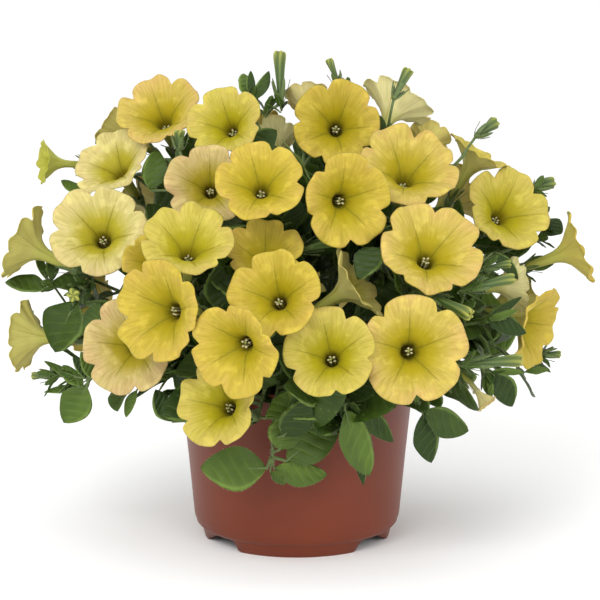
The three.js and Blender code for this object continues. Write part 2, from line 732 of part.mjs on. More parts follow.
// The point of a trunk at a given height, from just above the soil to its top
function pointAtHeight(line, height) {
  const top = line[line.length - 1];
  const wanted = THREE.MathUtils.clamp(height, SOIL_CENTRE_HEIGHT + 5, top.z);
  const upper = line.findIndex((point) => point.z >= wanted);
  const [low, high] = [line[upper - 1], line[upper]];
  return low.clone().lerp(high, (wanted - low.z) / (high.z - low.z));
}

// A shoot leaves its trunk, rises over the pot's rim where it hangs low, and ends at a point
// with the given direction. Bends to the side or up are tried until it clears the rest.
function growShoot(trunk, end, direction, tries) {
  const start = pointAtHeight(trunk.line, end.z - SHOOT_RISE);
  const lead = end.clone().addScaledVector(direction, -SHOOT_LEAD);
  const middle = start.clone().lerp(lead, 0.5);
  middle.z += 5;
  const reach = Math.hypot(end.x, end.y);
  if (end.z < POT_HEIGHT + 14 && reach > POT_RIM_RADIUS) {
    const over = POT_RIM_RADIUS + 3;
    middle.set((end.x / reach) * over, (end.y / reach) * over, POT_HEIGHT + 34);
    lead.addScaledVector(direction, 12).setZ(lead.z + 8);
  }
  const across = new THREE.Vector3(-end.y, end.x, 0).normalize();
  const bends = [[0, 0], [8, 0], [-8, 0], [0, 9], [0, -7], [14, 5], [-14, 5], [20, 0], [-20, 0]];
  for (const [sideways, up] of bends) {
    const bent = middle.clone().addScaledVector(across, sideways);
    bent.z += up;
    const curve = new THREE.CubicBezierCurve3(start, bent, lead, end);
    const line = curve.getPoints(SHOOT_STRETCHES);
    const solid = rodSolid(line, SHOOT_RADIUS, 3);
    if (isClear(solid, (other) => other.owner === trunk.name)) {
      trunk.solids.push(solid);
      trunk.shoots.push({ line, tries });
      stand(solid, trunk.name, 'shoot');
      return;
    }
  }
  throw new Error(`a shoot of ${trunk.name} finds no clear way to ${end.toArray()}`);
}

// The nearest place on a shoot that lies behind a leaf's or bud's base
function nearestOnShoots(trunks, point, along) {
  let best = { distance: Infinity };
  for (const trunk of trunks) {
    for (const shoot of trunk.shoots) {
      for (let i = 0; i < 29; i += 1) {
        const place = pointAlong(shoot.line, i / 30);
        const distance = place.distanceTo(point);
        const behind = point.clone().sub(place).dot(along);
        if (distance < best.distance && behind > 1) best = { trunk, place, distance };
      }
    }
  }
  return best;
}

// A leaf or bud grows if it clears everything but its own shoot
function attach(trunk, solid, crossing) {
  const own = (other) => other.owner === trunk.name && (crossing || other.kind === 'shoot');
  if (!isClear(solid, own)) return false;
  trunk.solids.push(solid);
  stand(solid, trunk.name, 'leaf');
  return true;
}

function growPlacedLeaves(trunks) {
  for (const [u, v, depth, tipU, tipV, tipDepth, width, roll] of FRONT_LEAVES) {
    for (const shift of [0, -6, 6, -12, 12, -20, 20]) {
      const base = seen(u, v, depth + shift / 2);
      const tip = seen(tipU, tipV, tipDepth + shift);
      const upward = blend(0, 0.45, 0.9);
      const leaf = makeLeaf(base, tip, upward, width, roll, width > LARGE_LEAF_WIDTH);
      const { trunk, place } = nearestOnShoots(trunks, base, leaf.along);
      if (attach(trunk, leafSolid(leaf, place), true)) break;
    }
  }
}

function growBuds(trunks) {
  for (const [u, v, depth, tipU, tipV, tipDepth, width] of BUDS) {
    for (const shift of [0, 6, -6, 12, -12, 18, -18]) {
      const base = seen(u, v, depth + shift);
      const tip = seen(tipU, tipV, tipDepth + shift);
      const along = tip.clone().sub(base).normalize();
      const { trunk, place } = nearestOnShoots(trunks, base, along);
      if (attach(trunk, budSolid(base, tip, width, place), true)) break;
    }
  }
}

// Leaves all along the shoots, turned by the golden angle, their faces to the light
function growLeavesByRule(trunks) {
  trunks.forEach((trunk, trunkNumber) => {
    trunk.shoots.forEach((shoot, shootNumber) => {
      const draw = randomDraws(1000 + 50 * trunkNumber + shootNumber);
      for (let i = 0; i < shoot.tries; i += 1) {
        const place = pointAlong(shoot.line, 0.45 + (0.53 * (i + draw())) / shoot.tries);
        const length = THREE.MathUtils.lerp(...LEAF_LENGTHS, draw());
        const spin = GOLDEN_ANGLE * i + 6.28 * draw();
        const tangent = shoot.line[4].clone().sub(shoot.line[2]).normalize();
        const out = place.clone().sub(DOME_CENTRE).setZ(place.z - DOME_CENTRE.z + 25).normalize();
        const side = squareTo(out, tangent).applyAxisAngle(tangent, spin);
        const roll = 50 * (draw() - 0.5);
        for (const turn of LEAF_TURNS) {
          const heading = side.clone().addScaledVector(out, 0.9).applyAxisAngle(out, turn);
          const tip = place.clone().addScaledVector(heading.normalize(), length);
          const width = length * LEAF_ROUNDNESS;
          const base = place.clone().lerp(tip, 3 / length);
          const leaf = makeLeaf(base, tip, out, width, roll, false);
          if (tip.z > LOWEST_LEAF_TIP && attach(trunk, leafSolid(leaf, place), false)) break;
        }
      }
    });
  });
}

// Assembly

const plant = new THREE.Group();

function addPiece(name, geometry, colour, roughness) {
  const material = new THREE.MeshStandardMaterial({ color: colour, roughness, metalness: 0 });
  const mesh = new THREE.Mesh(geometry, material);
  mesh.name = name;
  plant.add(mesh);
}

const pot = potSolid();
const trunks = makeTrunks();
const blooms = allBlooms();
stand(pot, 'pot', 'pot');
for (const bloom of blooms) {
  bloom.name = `bloom_${String(bloom.number).padStart(2, '0')}`;
  bloom.solid = corollaSolid(bloom);
  stand(bloom.solid, bloom.name, 'bloom');
}
trunks.forEach(growTrunk);
const soil = soilSolid(trunks.map((trunk) => trunk.line[0]));
stand(soil, 'soil', 'soil');

for (const bloom of blooms) {
  const { frame } = bloom;
  const end = frame.place(0, 0, -CALYX_DEPTH + 1);
  const trunk = trunkOf(trunks, end);
  const calyx = calyxSolid(frame);
  trunk.solids.push(calyx);
  stand(calyx, trunk.name, 'shoot');
  growShoot(trunk, end, frame.axis, end.y < 0 ? FRONT_TRIES : BACK_TRIES);
}
const shootTips = SIDE_SHOOTS.map(([u, v, depth]) => ({ end: seen(u, v, depth), tries: 0 }));
for (const [azimuth, height] of BACK_SHOOTS) {
  shootTips.push({ end: onDome(azimuth, height, 0.93).point, tries: LEAFY_TRIES });
}
for (const { end, tries } of shootTips) {
  const direction = end.clone().sub(DOME_CENTRE).normalize();
  if (end.z < POT_HEIGHT) direction.multiplyScalar(0.35).setZ(-0.95).normalize();
  growShoot(trunkOf(trunks, end), end, direction, tries);
}
growBuds(trunks);
growPlacedLeaves(trunks);
growLeavesByRule(trunks);

// The box round everything is brought over the origin, and each stem is one welded body
const wholeBox = new THREE.Box3();
for (const { box } of standing) {
  wholeBox.expandByPoint(new THREE.Vector3(...box.min));
  wholeBox.expandByPoint(new THREE.Vector3(...box.max));
}
const wholeCentre = wholeBox.getCenter(new THREE.Vector3());
const centred = (solid) => solid.translate([-wholeCentre.x, -wholeCentre.y, 0]);

function oneBody(solids) {
  const joined = centred(wasm.Manifold.union(solids).simplify(WELD));
  const bodies = solidOf(geometryOf(joined)).decompose();
  return bodies.reduce((best, body) => (body.volume() > best.volume() ? body : best));
}

addPiece('pot', geometryOf(centred(pot)), COLOURS.pot, 0.5);
addPiece('soil', geometryOf(centred(soil)), COLOURS.soil, 0.95);
for (const trunk of trunks) {
  addPiece(trunk.name, geometryOf(oneBody(trunk.solids)), COLOURS.leaf, 0.6);
}
for (const bloom of blooms) {
  addPiece(bloom.name, geometryOf(centred(bloom.solid)), COLOURS[bloom.colour], 0.55);
}

export default plant;
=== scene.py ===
import math
from dataclasses import dataclass

import bmesh
import bpy
from bpy.props import FloatProperty, FloatVectorProperty, IntProperty, PointerProperty
from mathutils import Matrix, Vector, noise
from mathutils.kdtree import KDTree


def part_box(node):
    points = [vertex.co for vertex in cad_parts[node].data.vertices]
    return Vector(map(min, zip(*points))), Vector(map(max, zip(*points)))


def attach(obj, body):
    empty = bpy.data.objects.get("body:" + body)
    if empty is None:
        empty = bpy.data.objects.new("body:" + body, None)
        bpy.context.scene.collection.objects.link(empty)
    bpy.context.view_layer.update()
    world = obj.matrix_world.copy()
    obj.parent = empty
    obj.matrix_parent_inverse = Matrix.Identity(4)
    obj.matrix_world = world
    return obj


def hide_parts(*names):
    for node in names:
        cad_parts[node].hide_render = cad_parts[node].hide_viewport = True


bl_info = {
    "name": "Potted Petunia",
    "version": (1, 0, 0),
    "blender": (4, 5, 0),
    "location": "View3D > Sidebar > Petunia",
    "description": "A petunia in full bloom in a nursery pot, on a pale studio floor",
    "category": "Object",
}

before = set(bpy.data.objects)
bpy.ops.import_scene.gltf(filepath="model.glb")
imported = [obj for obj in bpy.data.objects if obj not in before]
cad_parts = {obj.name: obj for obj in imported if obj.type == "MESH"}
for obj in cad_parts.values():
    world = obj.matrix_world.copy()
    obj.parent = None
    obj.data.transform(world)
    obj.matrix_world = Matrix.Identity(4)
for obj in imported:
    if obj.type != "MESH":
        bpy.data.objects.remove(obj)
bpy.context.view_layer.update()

# Everything is laid out in millimetres from the middle of the pot's foot, as in the solids
MM = 0.001
POT_LOW, POT_HIGH = (Vector(corner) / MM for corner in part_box("pot"))
POT_AXIS = (POT_LOW + POT_HIGH) / 2
INTO_FRAME = Matrix.Scale(MM, 4) @ Matrix.Translation((POT_AXIS.x, POT_AXIS.y, 0))
MERGE = 1e-3

# Sizes that the solids were made with
POT_HEIGHT = POT_HIGH.z
POT_RIM_RADIUS = 66.2
SOIL_CENTRE_HEIGHT = 85
HOLE_DEPTH = 16
SIDE_TRUNKS = 7
TRUNK_RING_RADIUS = 26
SHOOT_RADIUS = 1.1
SHOOT_RISE = 45
SHOOT_LEAD = 22
CROWN_REACH = 62
CROWN_HEIGHT = 180
BLADE_FOLD = 0.22
BLADE_CURL = 0.12
FULL_BLOOM = 51
FULL_LENGTH = 36.3
LOBES = 5
CALYX_DEPTH = 7
DOME_CENTRE = Vector((0, 0, 118))
DOME_REACH = 138
DOME_RISE = 122
LEAFY_TRIES = 3
BLOOM_TRIES = 1
LEAF_LENGTHS = (28, 42)
LEAF_ROUNDNESS = 0.5
LEAF_TURNS = (0, 0.7, -0.7)
DRAIN_AZIMUTHS = (50, 130, 230, 310)
DRAIN_RING_RADIUS = 42
DRAIN_RADIUS = 4

# The turn from one leaf to the next and a whole turn, rounded as in the solids
GOLDEN_ANGLE = 2.4
ROUND = 6.28

# Where the rings of a rod, and those of a bud, count their angles from
RING_SIDE = Vector((0.6, 0.5, 0.3))
BUD_SIDE = Vector((0.3, 0.2, 1))

# The slots of a stem's materials and of a bloom's
BLADE, UNDERSIDE, STEM, HAIR, BUD = range(5)
FRONT, BACK, ANTHER, STIGMA = range(4)

# The photograph's view: 11 degrees above level, from 1.6 m away
VIEW_RISE = math.radians(11)
VIEW_DISTANCE = 1600
VIEW_CENTRE_U = 1.7
VIEW_CENTRE_V = 130.5
VIEW_HALF_WIDTH = 168.7
VIEW_RIGHT = Vector((1, 0, 0))
VIEW_UP = Vector((0, math.sin(VIEW_RISE), math.cos(VIEW_RISE)))
VIEW_TOWARD = Vector((0, -math.cos(VIEW_RISE), math.sin(VIEW_RISE)))

# Blooms that show from the front. Each row: u, v and depth of the rim's centre, the way it
# faces (right, up, toward), its diameter, its tube's length, one vein's angle, its colour
FRONT_BLOOMS = [
    (-78, 238, 26, -0.21, 0.57, 0.79, 48, 35, 110, "peach"),
    (-41, 231, 54, -0.29, 0.36, 0.88, 42, 32, 105, "lemon"),
    (-105, 209, 26, -0.43, 0.6, 0.67, 46, 33, 104, "cream"),
    (-112, 170, 62, -0.14, 0.4, 0.9, 53, 36, 136, "cream"),
    (-50, 196, 74, -0.07, 0.3, 0.95, 46, 33, 90, "beige"),
    (-21, 198, 108, -0.05, 0.45, 0.89, 48, 32, 106, "gold"),
    (-61, 165, 118, 0.05, 0.65, 0.76, 49, 35, 72, "lemon"),
    (-18, 159, 100, 0, 0.6, 0.8, 42, 31, 90, "gold"),
    (22, 230, 46, 0, 0.2, 0.98, 48, 35, 67, "gold"),
    (63, 207, 70, 0.14, 0.62, 0.77, 54, 37, 48, "peach"),
    (29, 186, 104, 0.32, -0.05, 0.95, 49, 35, 95, "gold"),
    (119, 182, 28, 0.36, 0.36, 0.86, 49, 35, 66, "lemon"),
    (76, 160, 104, 0.2, 0.5, 0.84, 55, 37, 112, "peach"),
    (-13, 134, 138, -0.2, 0.33, 0.92, 48, 35, 96, "gold"),
    (-79, 124, 136, -0.6, 0, 0.8, 54, 37, 77, "gold"),
    (-96, 104, 98, -0.3, 0, 0.95, 50, 36, 100, "beige"),
    (-36, 102, 156, -0.45, -0.25, 0.86, 48, 35, 62, "gold"),
    (-46, 73, 130, -0.5, 0.25, 0.83, 48, 35, 104, "lemon"),
    (18, 101, 138, -0.1, 0.28, 0.95, 48, 35, 101, "lemon"),
    (66, 102, 130, 0.15, 0.05, 0.99, 56, 37, 94, "peach"),
    (-143, 208, 10, -0.93, 0.05, 0.3, 26, 28, 90, "lime"),
    (-155, 163, 18, -0.87, 0.45, -0.2, 45, 34, 90, "lemon"),
    (-154, 110, 18, -0.95, 0.05, -0.3, 40, 33, 100, "lemon"),
    (160, 160, 14, 0.93, 0.33, 0.1, 42, 34, 90, "gold"),
    (136, 114, 52, 0.85, -0.3, 0.42, 46, 35, 60, "gold"),
    (103, 214, 14, 0.5, 0.82, 0.14, 38, 32, 90, "lemon"),
    (57, 243, 24, 0.45, 0.85, -0.35, 42, 33, 70, "cream"),
    (36, 141, 92, 0.8, 0.5, 0.2, 44, 36, 60, "khaki"),
    (-83, 152, 78, -0.3, 0.2, 0.93, 32, 28, 100, "gold"),
    (-104, 230, -6, -0.78, 0.55, -0.25, 30, 30, 90, "khaki"),
    (123.5, 139, 34, 0.92, 0.12, -0.38, 32, 30, 90, "cream"),
    (107, 72, 84, 0.6, -0.75, 0.2, 12, 24, 90, "beige"),
    (-15, 221, 2, -0.3, 0.5, -0.8, 30, 30, 90, "cream"),
    (8, 244, 22, 0.1, 0.8, -0.5, 30, 30, 80, "beige"),
    (75, 222, 2, 0.3, 0.5, -0.7, 24, 26, 80, "peach"),
]

# Blooms on the sides and back. Each row: azimuth round the pot from the front and height
# angle over the dome's centre in degrees, diameter, one vein's angle, its colour
BACK_BLOOMS = [
    (112, 2, 48, 80, "lemon"),
    (143, 4, 50, 110, "gold"),
    (174, -4, 52, 95, "peach"),
    (207, 2, 48, 70, "lemon"),
    (241, -2, 50, 100, "gold"),
    (126, 33, 52, 60, "peach"),
    (159, 30, 48, 100, "lemon"),
    (192, 33, 53, 85, "gold"),
    (225, 31, 49, 120, "cream"),
    (250, 22, 50, 95, "lemon"),
    (146, 57, 48, 75, "gold"),
    (206, 58, 50, 90, "peach"),
]

# Closed buds. Each row: u, v and depth of the base, then of the tip, and the width
BUDS = [
    (-9, 240, 34, -10, 270, 28, 8),
    (24, 250, 28, 18, 266, 28, 5),
    (54, 243, 34, 63, 260, 28, 7),
    (100, 222, 30, 112, 231, 24, 8),
    (133, 193, 10, 144, 197, 4, 8),
    (0, 158, 100, 27, 165, 116, 8),
    (73, 134, 122, 98, 122, 136, 8),
    (94, 136, 96, 122, 143, 90, 7),
    (104, 148, 66, 120, 151, 62, 5),
    (93, 94, 104, 126, 97, 92, 8),
    (137, 100, 22, 148, 100, 18, 5),
    (-136, 88, 36, -149, 88, 32, 5),
    (-66, 214, 70, -66, 226, 72, 7),
    (-122, 136, 58, -126, 133, 66, 9),
]

# Leafy side shoots that show from the front: u, v and depth of each shoot's tip
SIDE_SHOOTS = [
    (-14, 38, 92),
    (28, 72, 112),
    (69, 69, 104),
    (107, 89, 74),
    (106, 118, 76),
    (129, 147, 8),
    (-139, 139, 16),
    (-118, 83, 46),
    (-26, 242, 26),
    (53, 230, 42),
    (138, 166, 6),
    (30, 243, 12),
    (95, 213, 36),
    (-64, 203, 58),
]

# Leafy side shoots round the sides and back: azimuth and height angle of each tip
BACK_SHOOTS = [
    (95, -14),
    (128, -20),
    (158, -22),
    (190, -24),
    (224, -20),
    (258, -16),
    (104, 20),
    (141, 17),
    (175, 15),
    (208, 16),
    (236, 14),
    (178, 46),
    (232, 48),
]

# Leaves that show from the front. Each row: u, v and depth of the base, then of the tip,
# the width, and how far the blade is rolled about its rib in degrees
FRONT_LEAVES = [
    (-17, 36, 93, -54, 36, 98, 24, -25),
    (-10, 46, 94, -3, 67, 102, 18, 20),
    (-6, 40, 91, 24, 60, 92, 22, 20),
    (-13, 36, 90, 18, 32, 84, 14, 25),
    (-15, 34, 92, -6, 27, 92, 6, 0),
    (27, 69, 112, 44, 31, 100, 20, -15),
    (28, 68, 109, 39, 24, 92, 9, 0),
    (29, 72, 108, 56, 50, 96, 12, 15),
    (26, 72, 113, -4, 66, 116, 12, 0),
    (29, 74, 114, 46, 87, 120, 12, -10),
    (71, 67, 103, 77, 38, 96, 15, -10),
    (71, 68, 104, 98, 57, 96, 16, 15),
    (67, 72, 104, 68, 90, 108, 5, 0),
    (110, 89, 73, 122, 70, 68, 14, 10),
    (105, 87, 75, 110, 76, 76, 6, 0),
    (109, 90, 73, 129, 91, 64, 5, 0),
    (107, 118, 75, 130, 113, 68, 12, 0),
    (107, 120, 75, 127, 134, 66, 5, 0),
    (107, 119, 77, 124, 126, 76, 5, 0),
    (110, 157, 46, 125, 143, 48, 8, 0),
    (139, 167, 6, 148, 177, 0, 13, 0),
    (130, 148, 8, 145, 152, 4, 5, 0),
    (129, 149, 8, 140, 156, 4, 5, 0),
    (128, 90, 40, 142, 92, 36, 5, 0),
    (-140, 137, 16, -165, 142, 10, 12, 0),
    (-138, 140, 18, -118, 147, 32, 12, -15),
    (-124, 130, 32, -138, 102, 34, 30, 20),
    (-138, 141, 15, -137, 160, 10, 8, 0),
    (-140, 141, 14, -147, 162, 8, 5, 0),
    (-124, 148, 34, -109, 151, 40, 7, 0),
    (-118, 82, 46, -132, 61, 42, 19, -10),
    (-120, 82, 45, -132, 95, 38, 9, 0),
    (-121, 84, 44, -143, 98, 34, 5, 0),
    (-120, 81, 45, -144, 80, 34, 5, 0),
    (-118, 86, 46, -126, 99, 44, 6, 0),
    (-114, 86, 48, -121, 101, 52, 8, 0),
    (-90, 80, 78, -97, 64, 74, 6, 0),
    (-70, 62, 92, -79, 80, 96, 12, 0),
    (-120, 190, 8, -133, 199, 2, 7, 0),
    (-28, 244, 26, -29, 259, 18, 12, 30),
    (-25, 244, 28, -26, 260, 26, 5, 0),
    (-24, 243, 28, -16, 260, 26, 7, 0),
    (-30, 213, 40, -12, 227, 40, 17, 0),
    (-82, 192, 40, -79, 216, 34, 14, 0),
    (-43, 124, 104, -44, 150, 104, 15, 0),
    (47, 160, 98, 34, 143, 104, 15, 0),
    (50, 222, 36, 40, 239, 30, 9, 0),
    (12, 66, 108, 24, 84, 112, 11, 0),
    (-18, 64, 104, 4, 80, 110, 13, 0),
    (92, 130, 78, 112, 146, 66, 12, 0),
    (-108, 126, 70, -122, 116, 62, 12, 0),
]

# Each petal colour: the yellow round the throat, the outer part of the lobes, the blush near the rim, how
# strong the blush is, and the back, as the eye sees them. The back is the petals' own pale colour lifted with
# painted light, for the light that shines through them
PETAL_COLOURS = {
    "lemon": ((159, 149, 13), (182, 169, 74), (192, 163, 102), 0.45, (190, 184, 104)),
    "gold": ((159, 143, 11), (179, 159, 58), (190, 155, 84), 0.5, (186, 176, 88)),
    "peach": ((161, 145, 13), (184, 165, 78), (197, 160, 106), 0.65, (196, 184, 106)),
    "cream": ((166, 156, 36), (196, 185, 120), (197, 170, 124), 0.6, (224, 216, 158)),
    "beige": ((158, 143, 32), (189, 171, 112), (190, 154, 114), 0.75, (206, 194, 136)),
    "khaki": ((156, 145, 40), (175, 166, 94), (173, 149, 92), 0.5, (196, 188, 112)),
    "lime": ((140, 145, 25), (161, 163, 63), (166, 152, 72), 0.3, (162, 168, 76)),
}

# Blooms whose throats are paler, with little painted shade in them, and with the anthers deep in them
OBLIQUE_BLOOMS = (1, 2, 3, 6, 7, 10, 12)

# The funnel of a full bloom: radius and height from the calyx out to the rim
FUNNEL = (
    (1.5, -0.6),
    (2.3, 2.5),
    (2.6, 7),
    (3.2, 12),
    (3.8, 17),
    (5.0, 21.8),
    (8.4, 26.6),
    (14.0, 30.4),
    (19.5, 33.8),
    (23.6, 35.9),
    (25.5, 36.3),
)

# The rim's radius on a full bloom, and the thickness of its petals
FULL_RIM = FUNNEL[-1][0]
PETAL_THICKNESS = 0.45

# How far down the funnel its inside is open, as a share of the way and in millimetres
THROAT_SHARE = 0.26
THROAT_FLOOR = 9.5

# The waves of the rim: height and how many go round
RUFFLES = ((0.8, 3), (0.65, 7), (0.55, 11), (0.4, 17))


# Random draws and vectors, worked out as the solids' own


def random_draws(seed):
    """Returns a function that gives the next number from 0 to 1 of a seeded row."""
    state = seed

    def draw():
        nonlocal state
        state = (state + 0x6D2B79F5) & 0xFFFFFFFF
        mixed = ((state ^ (state >> 15)) * (1 | state)) & 0xFFFFFFFF
        extra = ((mixed ^ (mixed >> 7)) * (61 | mixed)) & 0xFFFFFFFF
        mixed = ((mixed + extra) & 0xFFFFFFFF) ^ mixed
        return (mixed ^ (mixed >> 14)) / 4294967296

    return draw


def drawn_vector(draw):
    """A vector of three draws, each from -0.5 to 0.5."""
    return Vector((draw() - 0.5, draw() - 0.5, draw() - 0.5))


def blend(right, up, toward):
    return right * VIEW_RIGHT + up * VIEW_UP + toward * VIEW_TOWARD


def seen(u, v, depth):
    """The point at a depth that shows at u, v in the photograph's view."""
    shrink = 1 - depth / VIEW_DISTANCE
    across = VIEW_CENTRE_U + (u - VIEW_CENTRE_U) * shrink
    above = VIEW_CENTRE_V + (v - VIEW_CENTRE_V) * shrink
    return blend(across, above, depth)


def square_to(vector, axis):
    return (vector - axis * vector.dot(axis)).normalized()


def turned(vector, axis, angle):
    return Matrix.Rotation(angle, 3, axis) @ vector


def smooth_step(low, high, value):
    share = min(max((value - low) / (high - low), 0), 1)
    return share * share * (3 - 2 * share)


def spline(knots, share):
    """A smooth curve through the knots, each a tuple, at a share from 0 to 1."""
    stretch = min(share * (len(knots) - 1), len(knots) - 1.0001)
    first = int(stretch)
    t = stretch - first
    before, start = knots[max(first - 1, 0)], knots[first]
    end, after = knots[first + 1], knots[min(first + 2, len(knots) - 1)]
    return tuple(
        0.5 * (2 * b + (c - a) * t + (2 * a - 5 * b + 4 * c - d) * t * t + (3 * b - a - 3 * c + d) * t**3)
        for a, b, c, d in zip(before, start, end, after)
    )


# The layout: what stands where


@dataclass
class Axis:
    """Points round an axis: place(angle, radius, height)."""

    base: Vector
    axis: Vector
    side: Vector

    def __post_init__(self):
        self.side = square_to(self.side, self.axis)
        self.third = self.axis.cross(self.side)

    def place(self, angle, radius, height):
        sideways = self.side * math.cos(angle) + self.third * math.sin(angle)
        return self.base + self.axis * height + sideways * radius


@dataclass
class Bloom:
    number: int
    diameter: float
    length: float
    colour: str
    ring: Axis
    lobes: list
    stem: int


@dataclass
class Leaf:
    root: Vector
    base: Vector
    tip: Vector
    width: float
    roll: float
    upward: Vector
    stem: int
    taper: float = 0.8

    def __post_init__(self):
        self.along = (self.tip - self.base).normalized()
        self.length = (self.tip - self.base).length
        upright = square_to(self.upward, self.along)
        self.normal = turned(upright, self.along, math.radians(self.roll))
        self.across = -self.normal.cross(self.along)
        self.true_tip = self.tip - self.normal * (BLADE_CURL * self.length)


@dataclass
class Bud:
    root: Vector
    base: Vector
    tip: Vector
    width: float
    stem: int


@dataclass
class Shoot:
    knots: tuple
    tries: int
    stem: int
    end: Vector

    def __post_init__(self):
        self.line = [self.point(i / 4) for i in range(5)]

    def point(self, t):
        a, b, c, d = self.knots
        s = 1 - t
        return a * s**3 + b * (3 * s * s * t) + c * (3 * s * t * t) + d * t**3

    def chord_point(self, share):
        """The same place on the straight stretches that the solids have."""
        stretch = min(share * 4, 3.9999)
        first = int(stretch)
        return self.line[first].lerp(self.line[first + 1], stretch - first)


def lobe_draws(number):
    """How far each lobe of a bloom reaches and how high it lies."""
    draw = random_draws(100 + number)
    return [(0.96 + 0.07 * draw(), 2.4 * (draw() - 0.5)) for _ in range(LOBES)]


def make_bloom(number, rim_centre, facing, diameter, length, vein, colour):
    axis = facing.normalized()
    turn = math.radians(vein)
    ring = Axis(rim_centre - axis * length, axis, blend(math.cos(turn), math.sin(turn), 0))
    calyx = ring.place(0, 0, 1 - CALYX_DEPTH)
    return Bloom(number, diameter, length, colour, ring, lobe_draws(number), trunk_of(calyx))


def on_dome(azimuth, height, share):
    turn = math.radians(azimuth)
    rise = math.radians(height)
    out = Vector((math.sin(turn), -math.cos(turn), 0))
    point = DOME_CENTRE + out * (share * DOME_REACH * math.cos(rise))
    point.z += share * DOME_RISE * math.sin(rise)
    facing = out * math.cos(rise)
    facing.z = math.sin(rise) + 0.12
    return point, facing


def all_blooms():
    blooms = []
    for u, v, depth, right, up, toward, diameter, length, vein, colour in FRONT_BLOOMS:
        facing = blend(right, up, toward)
        centre = seen(u, v, depth)
        blooms.append(make_bloom(len(blooms) + 1, centre, facing, diameter, length, vein, colour))
    for azimuth, height, diameter, vein, colour in BACK_BLOOMS:
        point, facing = on_dome(azimuth, height, 1)
        length = FULL_LENGTH * diameter / FULL_BLOOM
        blooms.append(make_bloom(len(blooms) + 1, point, facing, diameter, length, vein, colour))
    return blooms


def trunk_lines():
    """The line of each trunk, seven in a ring and one in the middle."""
    foot = SOIL_CENTRE_HEIGHT - 1 - HOLE_DEPTH
    rises = ((0, foot), (0, foot + 24), (12, 120), (24, 155))
    lines = []
    for i in range(SIDE_TRUNKS):
        turn = 2 * math.pi * i / SIDE_TRUNKS
        out = Vector((math.sin(turn), -math.cos(turn), 0))
        lines.append([out * (TRUNK_RING_RADIUS + off) + Vector((0, 0, z)) for off, z in rises])
    lines.append([Vector((0, 0, z)) for z in (foot, foot + 24, 120, 155, 190)])
    return lines


def trunk_of(point):
    if math.hypot(point.x, point.y) < CROWN_REACH and point.z > CROWN_HEIGHT:
        return SIDE_TRUNKS
    sector = math.floor(math.atan2(point.x, -point.y) / (2 * math.pi) * SIDE_TRUNKS + 0.5)
    return (sector + SIDE_TRUNKS) % SIDE_TRUNKS


def point_at_height(line, height):
    wanted = min(max(height, SOIL_CENTRE_HEIGHT + 5), line[-1].z)
    upper = next(i for i, point in enumerate(line) if point.z >= wanted)
    low, high = line[upper - 1], line[upper]
    return low.lerp(high, (wanted - low.z) / (high.z - low.z))


class SolidStems:
    """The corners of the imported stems, which say how each shoot, leaf and bud was bent."""

    def __init__(self):
        into_layout = INTO_FRAME.inverted()
        corners = []
        for stem in range(SIDE_TRUNKS + 1):
            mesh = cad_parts[f"leafy_stem_{stem + 1}"].data
            corners += [(into_layout @ vertex.co, stem) for vertex in mesh.vertices]
        self.owners = [stem for _, stem in corners]
        self.tree = KDTree(len(corners))
        for i, (corner, _) in enumerate(corners):
            self.tree.insert(corner, i)
        self.tree.balance()

    def owner(self, point):
        """The stem that has a corner at a point, or None."""
        _, index, distance = self.tree.find(point)
        return self.owners[index] if distance < 0.12 else None

    def corners_met(self, line):
        """How many corners of a rod's middle rings the solids have."""
        side = RING_SIDE
        met = 0
        for i, place in enumerate(line):
            ahead = (line[min(i + 1, len(line) - 1)] - line[max(i - 1, 0)]).normalized()
            ring = Axis(place, ahead, side)
            side = ring.side
            if 0 < i < len(line) - 1:
                turns = (0, 2 * math.pi / 3, 4 * math.pi / 3)
                met += sum(self.owner(ring.place(turn, SHOOT_RADIUS, 0)) is not None for turn in turns)
        return met


# How far aside and up a shoot may be bent to clear the blooms
BENDS = ((0, 0), (8, 0), (-8, 0), (0, 9), (0, -7), (14, 5), (-14, 5), (20, 0), (-20, 0))


def grow_shoot(solids, lines, end, direction, tries):
    stem = trunk_of(end)
    start = point_at_height(lines[stem], end.z - SHOOT_RISE)
    lead = end - direction * SHOOT_LEAD
    middle = start.lerp(lead, 0.5) + Vector((0, 0, 5))
    reach = math.hypot(end.x, end.y)
    if end.z < POT_HEIGHT + 14 and reach > POT_RIM_RADIUS:
        over = (POT_RIM_RADIUS + 3) / reach
        middle = Vector((end.x * over, end.y * over, POT_HEIGHT + 34))
        lead = lead + direction * 12
        lead.z += 8
    across = Vector((-end.y, end.x, 0)).normalized()
    candidates = []
    for sideways, up in BENDS:
        bent = middle + across * sideways + Vector((0, 0, up))
        candidates.append(Shoot((start, bent, lead, end), tries, stem, end))
    return max(candidates, key=lambda shoot: solids.corners_met(shoot.line))


def nearest_on_shoots(shoots, point, along):
    """The nearest place on a shoot that lies behind a leaf's or bud's base."""
    best = None
    for shoot in shoots:
        for i in range(29):
            place = shoot.chord_point(i / 30)
            distance = (place - point).length
            behind = (point - place).dot(along) > 1
            if behind and (best is None or distance < best[0]):
                best = (distance, shoot, i / 30)
    _, shoot, share = best
    return shoot, shoot.point(share)


def placed_leaves(solids, shoots):
    leaves = []
    for u, v, depth, tip_u, tip_v, tip_depth, width, roll in FRONT_LEAVES:
        for shift in (0, -6, 6, -12, 12, -20, 20):
            base = seen(u, v, depth + shift / 2)
            tip = seen(tip_u, tip_v, tip_depth + shift)
            leaf = Leaf(base, base, tip, width, roll, blend(0, 0.45, 0.9), 0)
            if solids.owner(leaf.true_tip) is None:
                continue
            shoot, leaf.root = nearest_on_shoots(shoots, base, leaf.along)
            leaf.stem = shoot.stem
            leaves.append(leaf)
            break
    return leaves


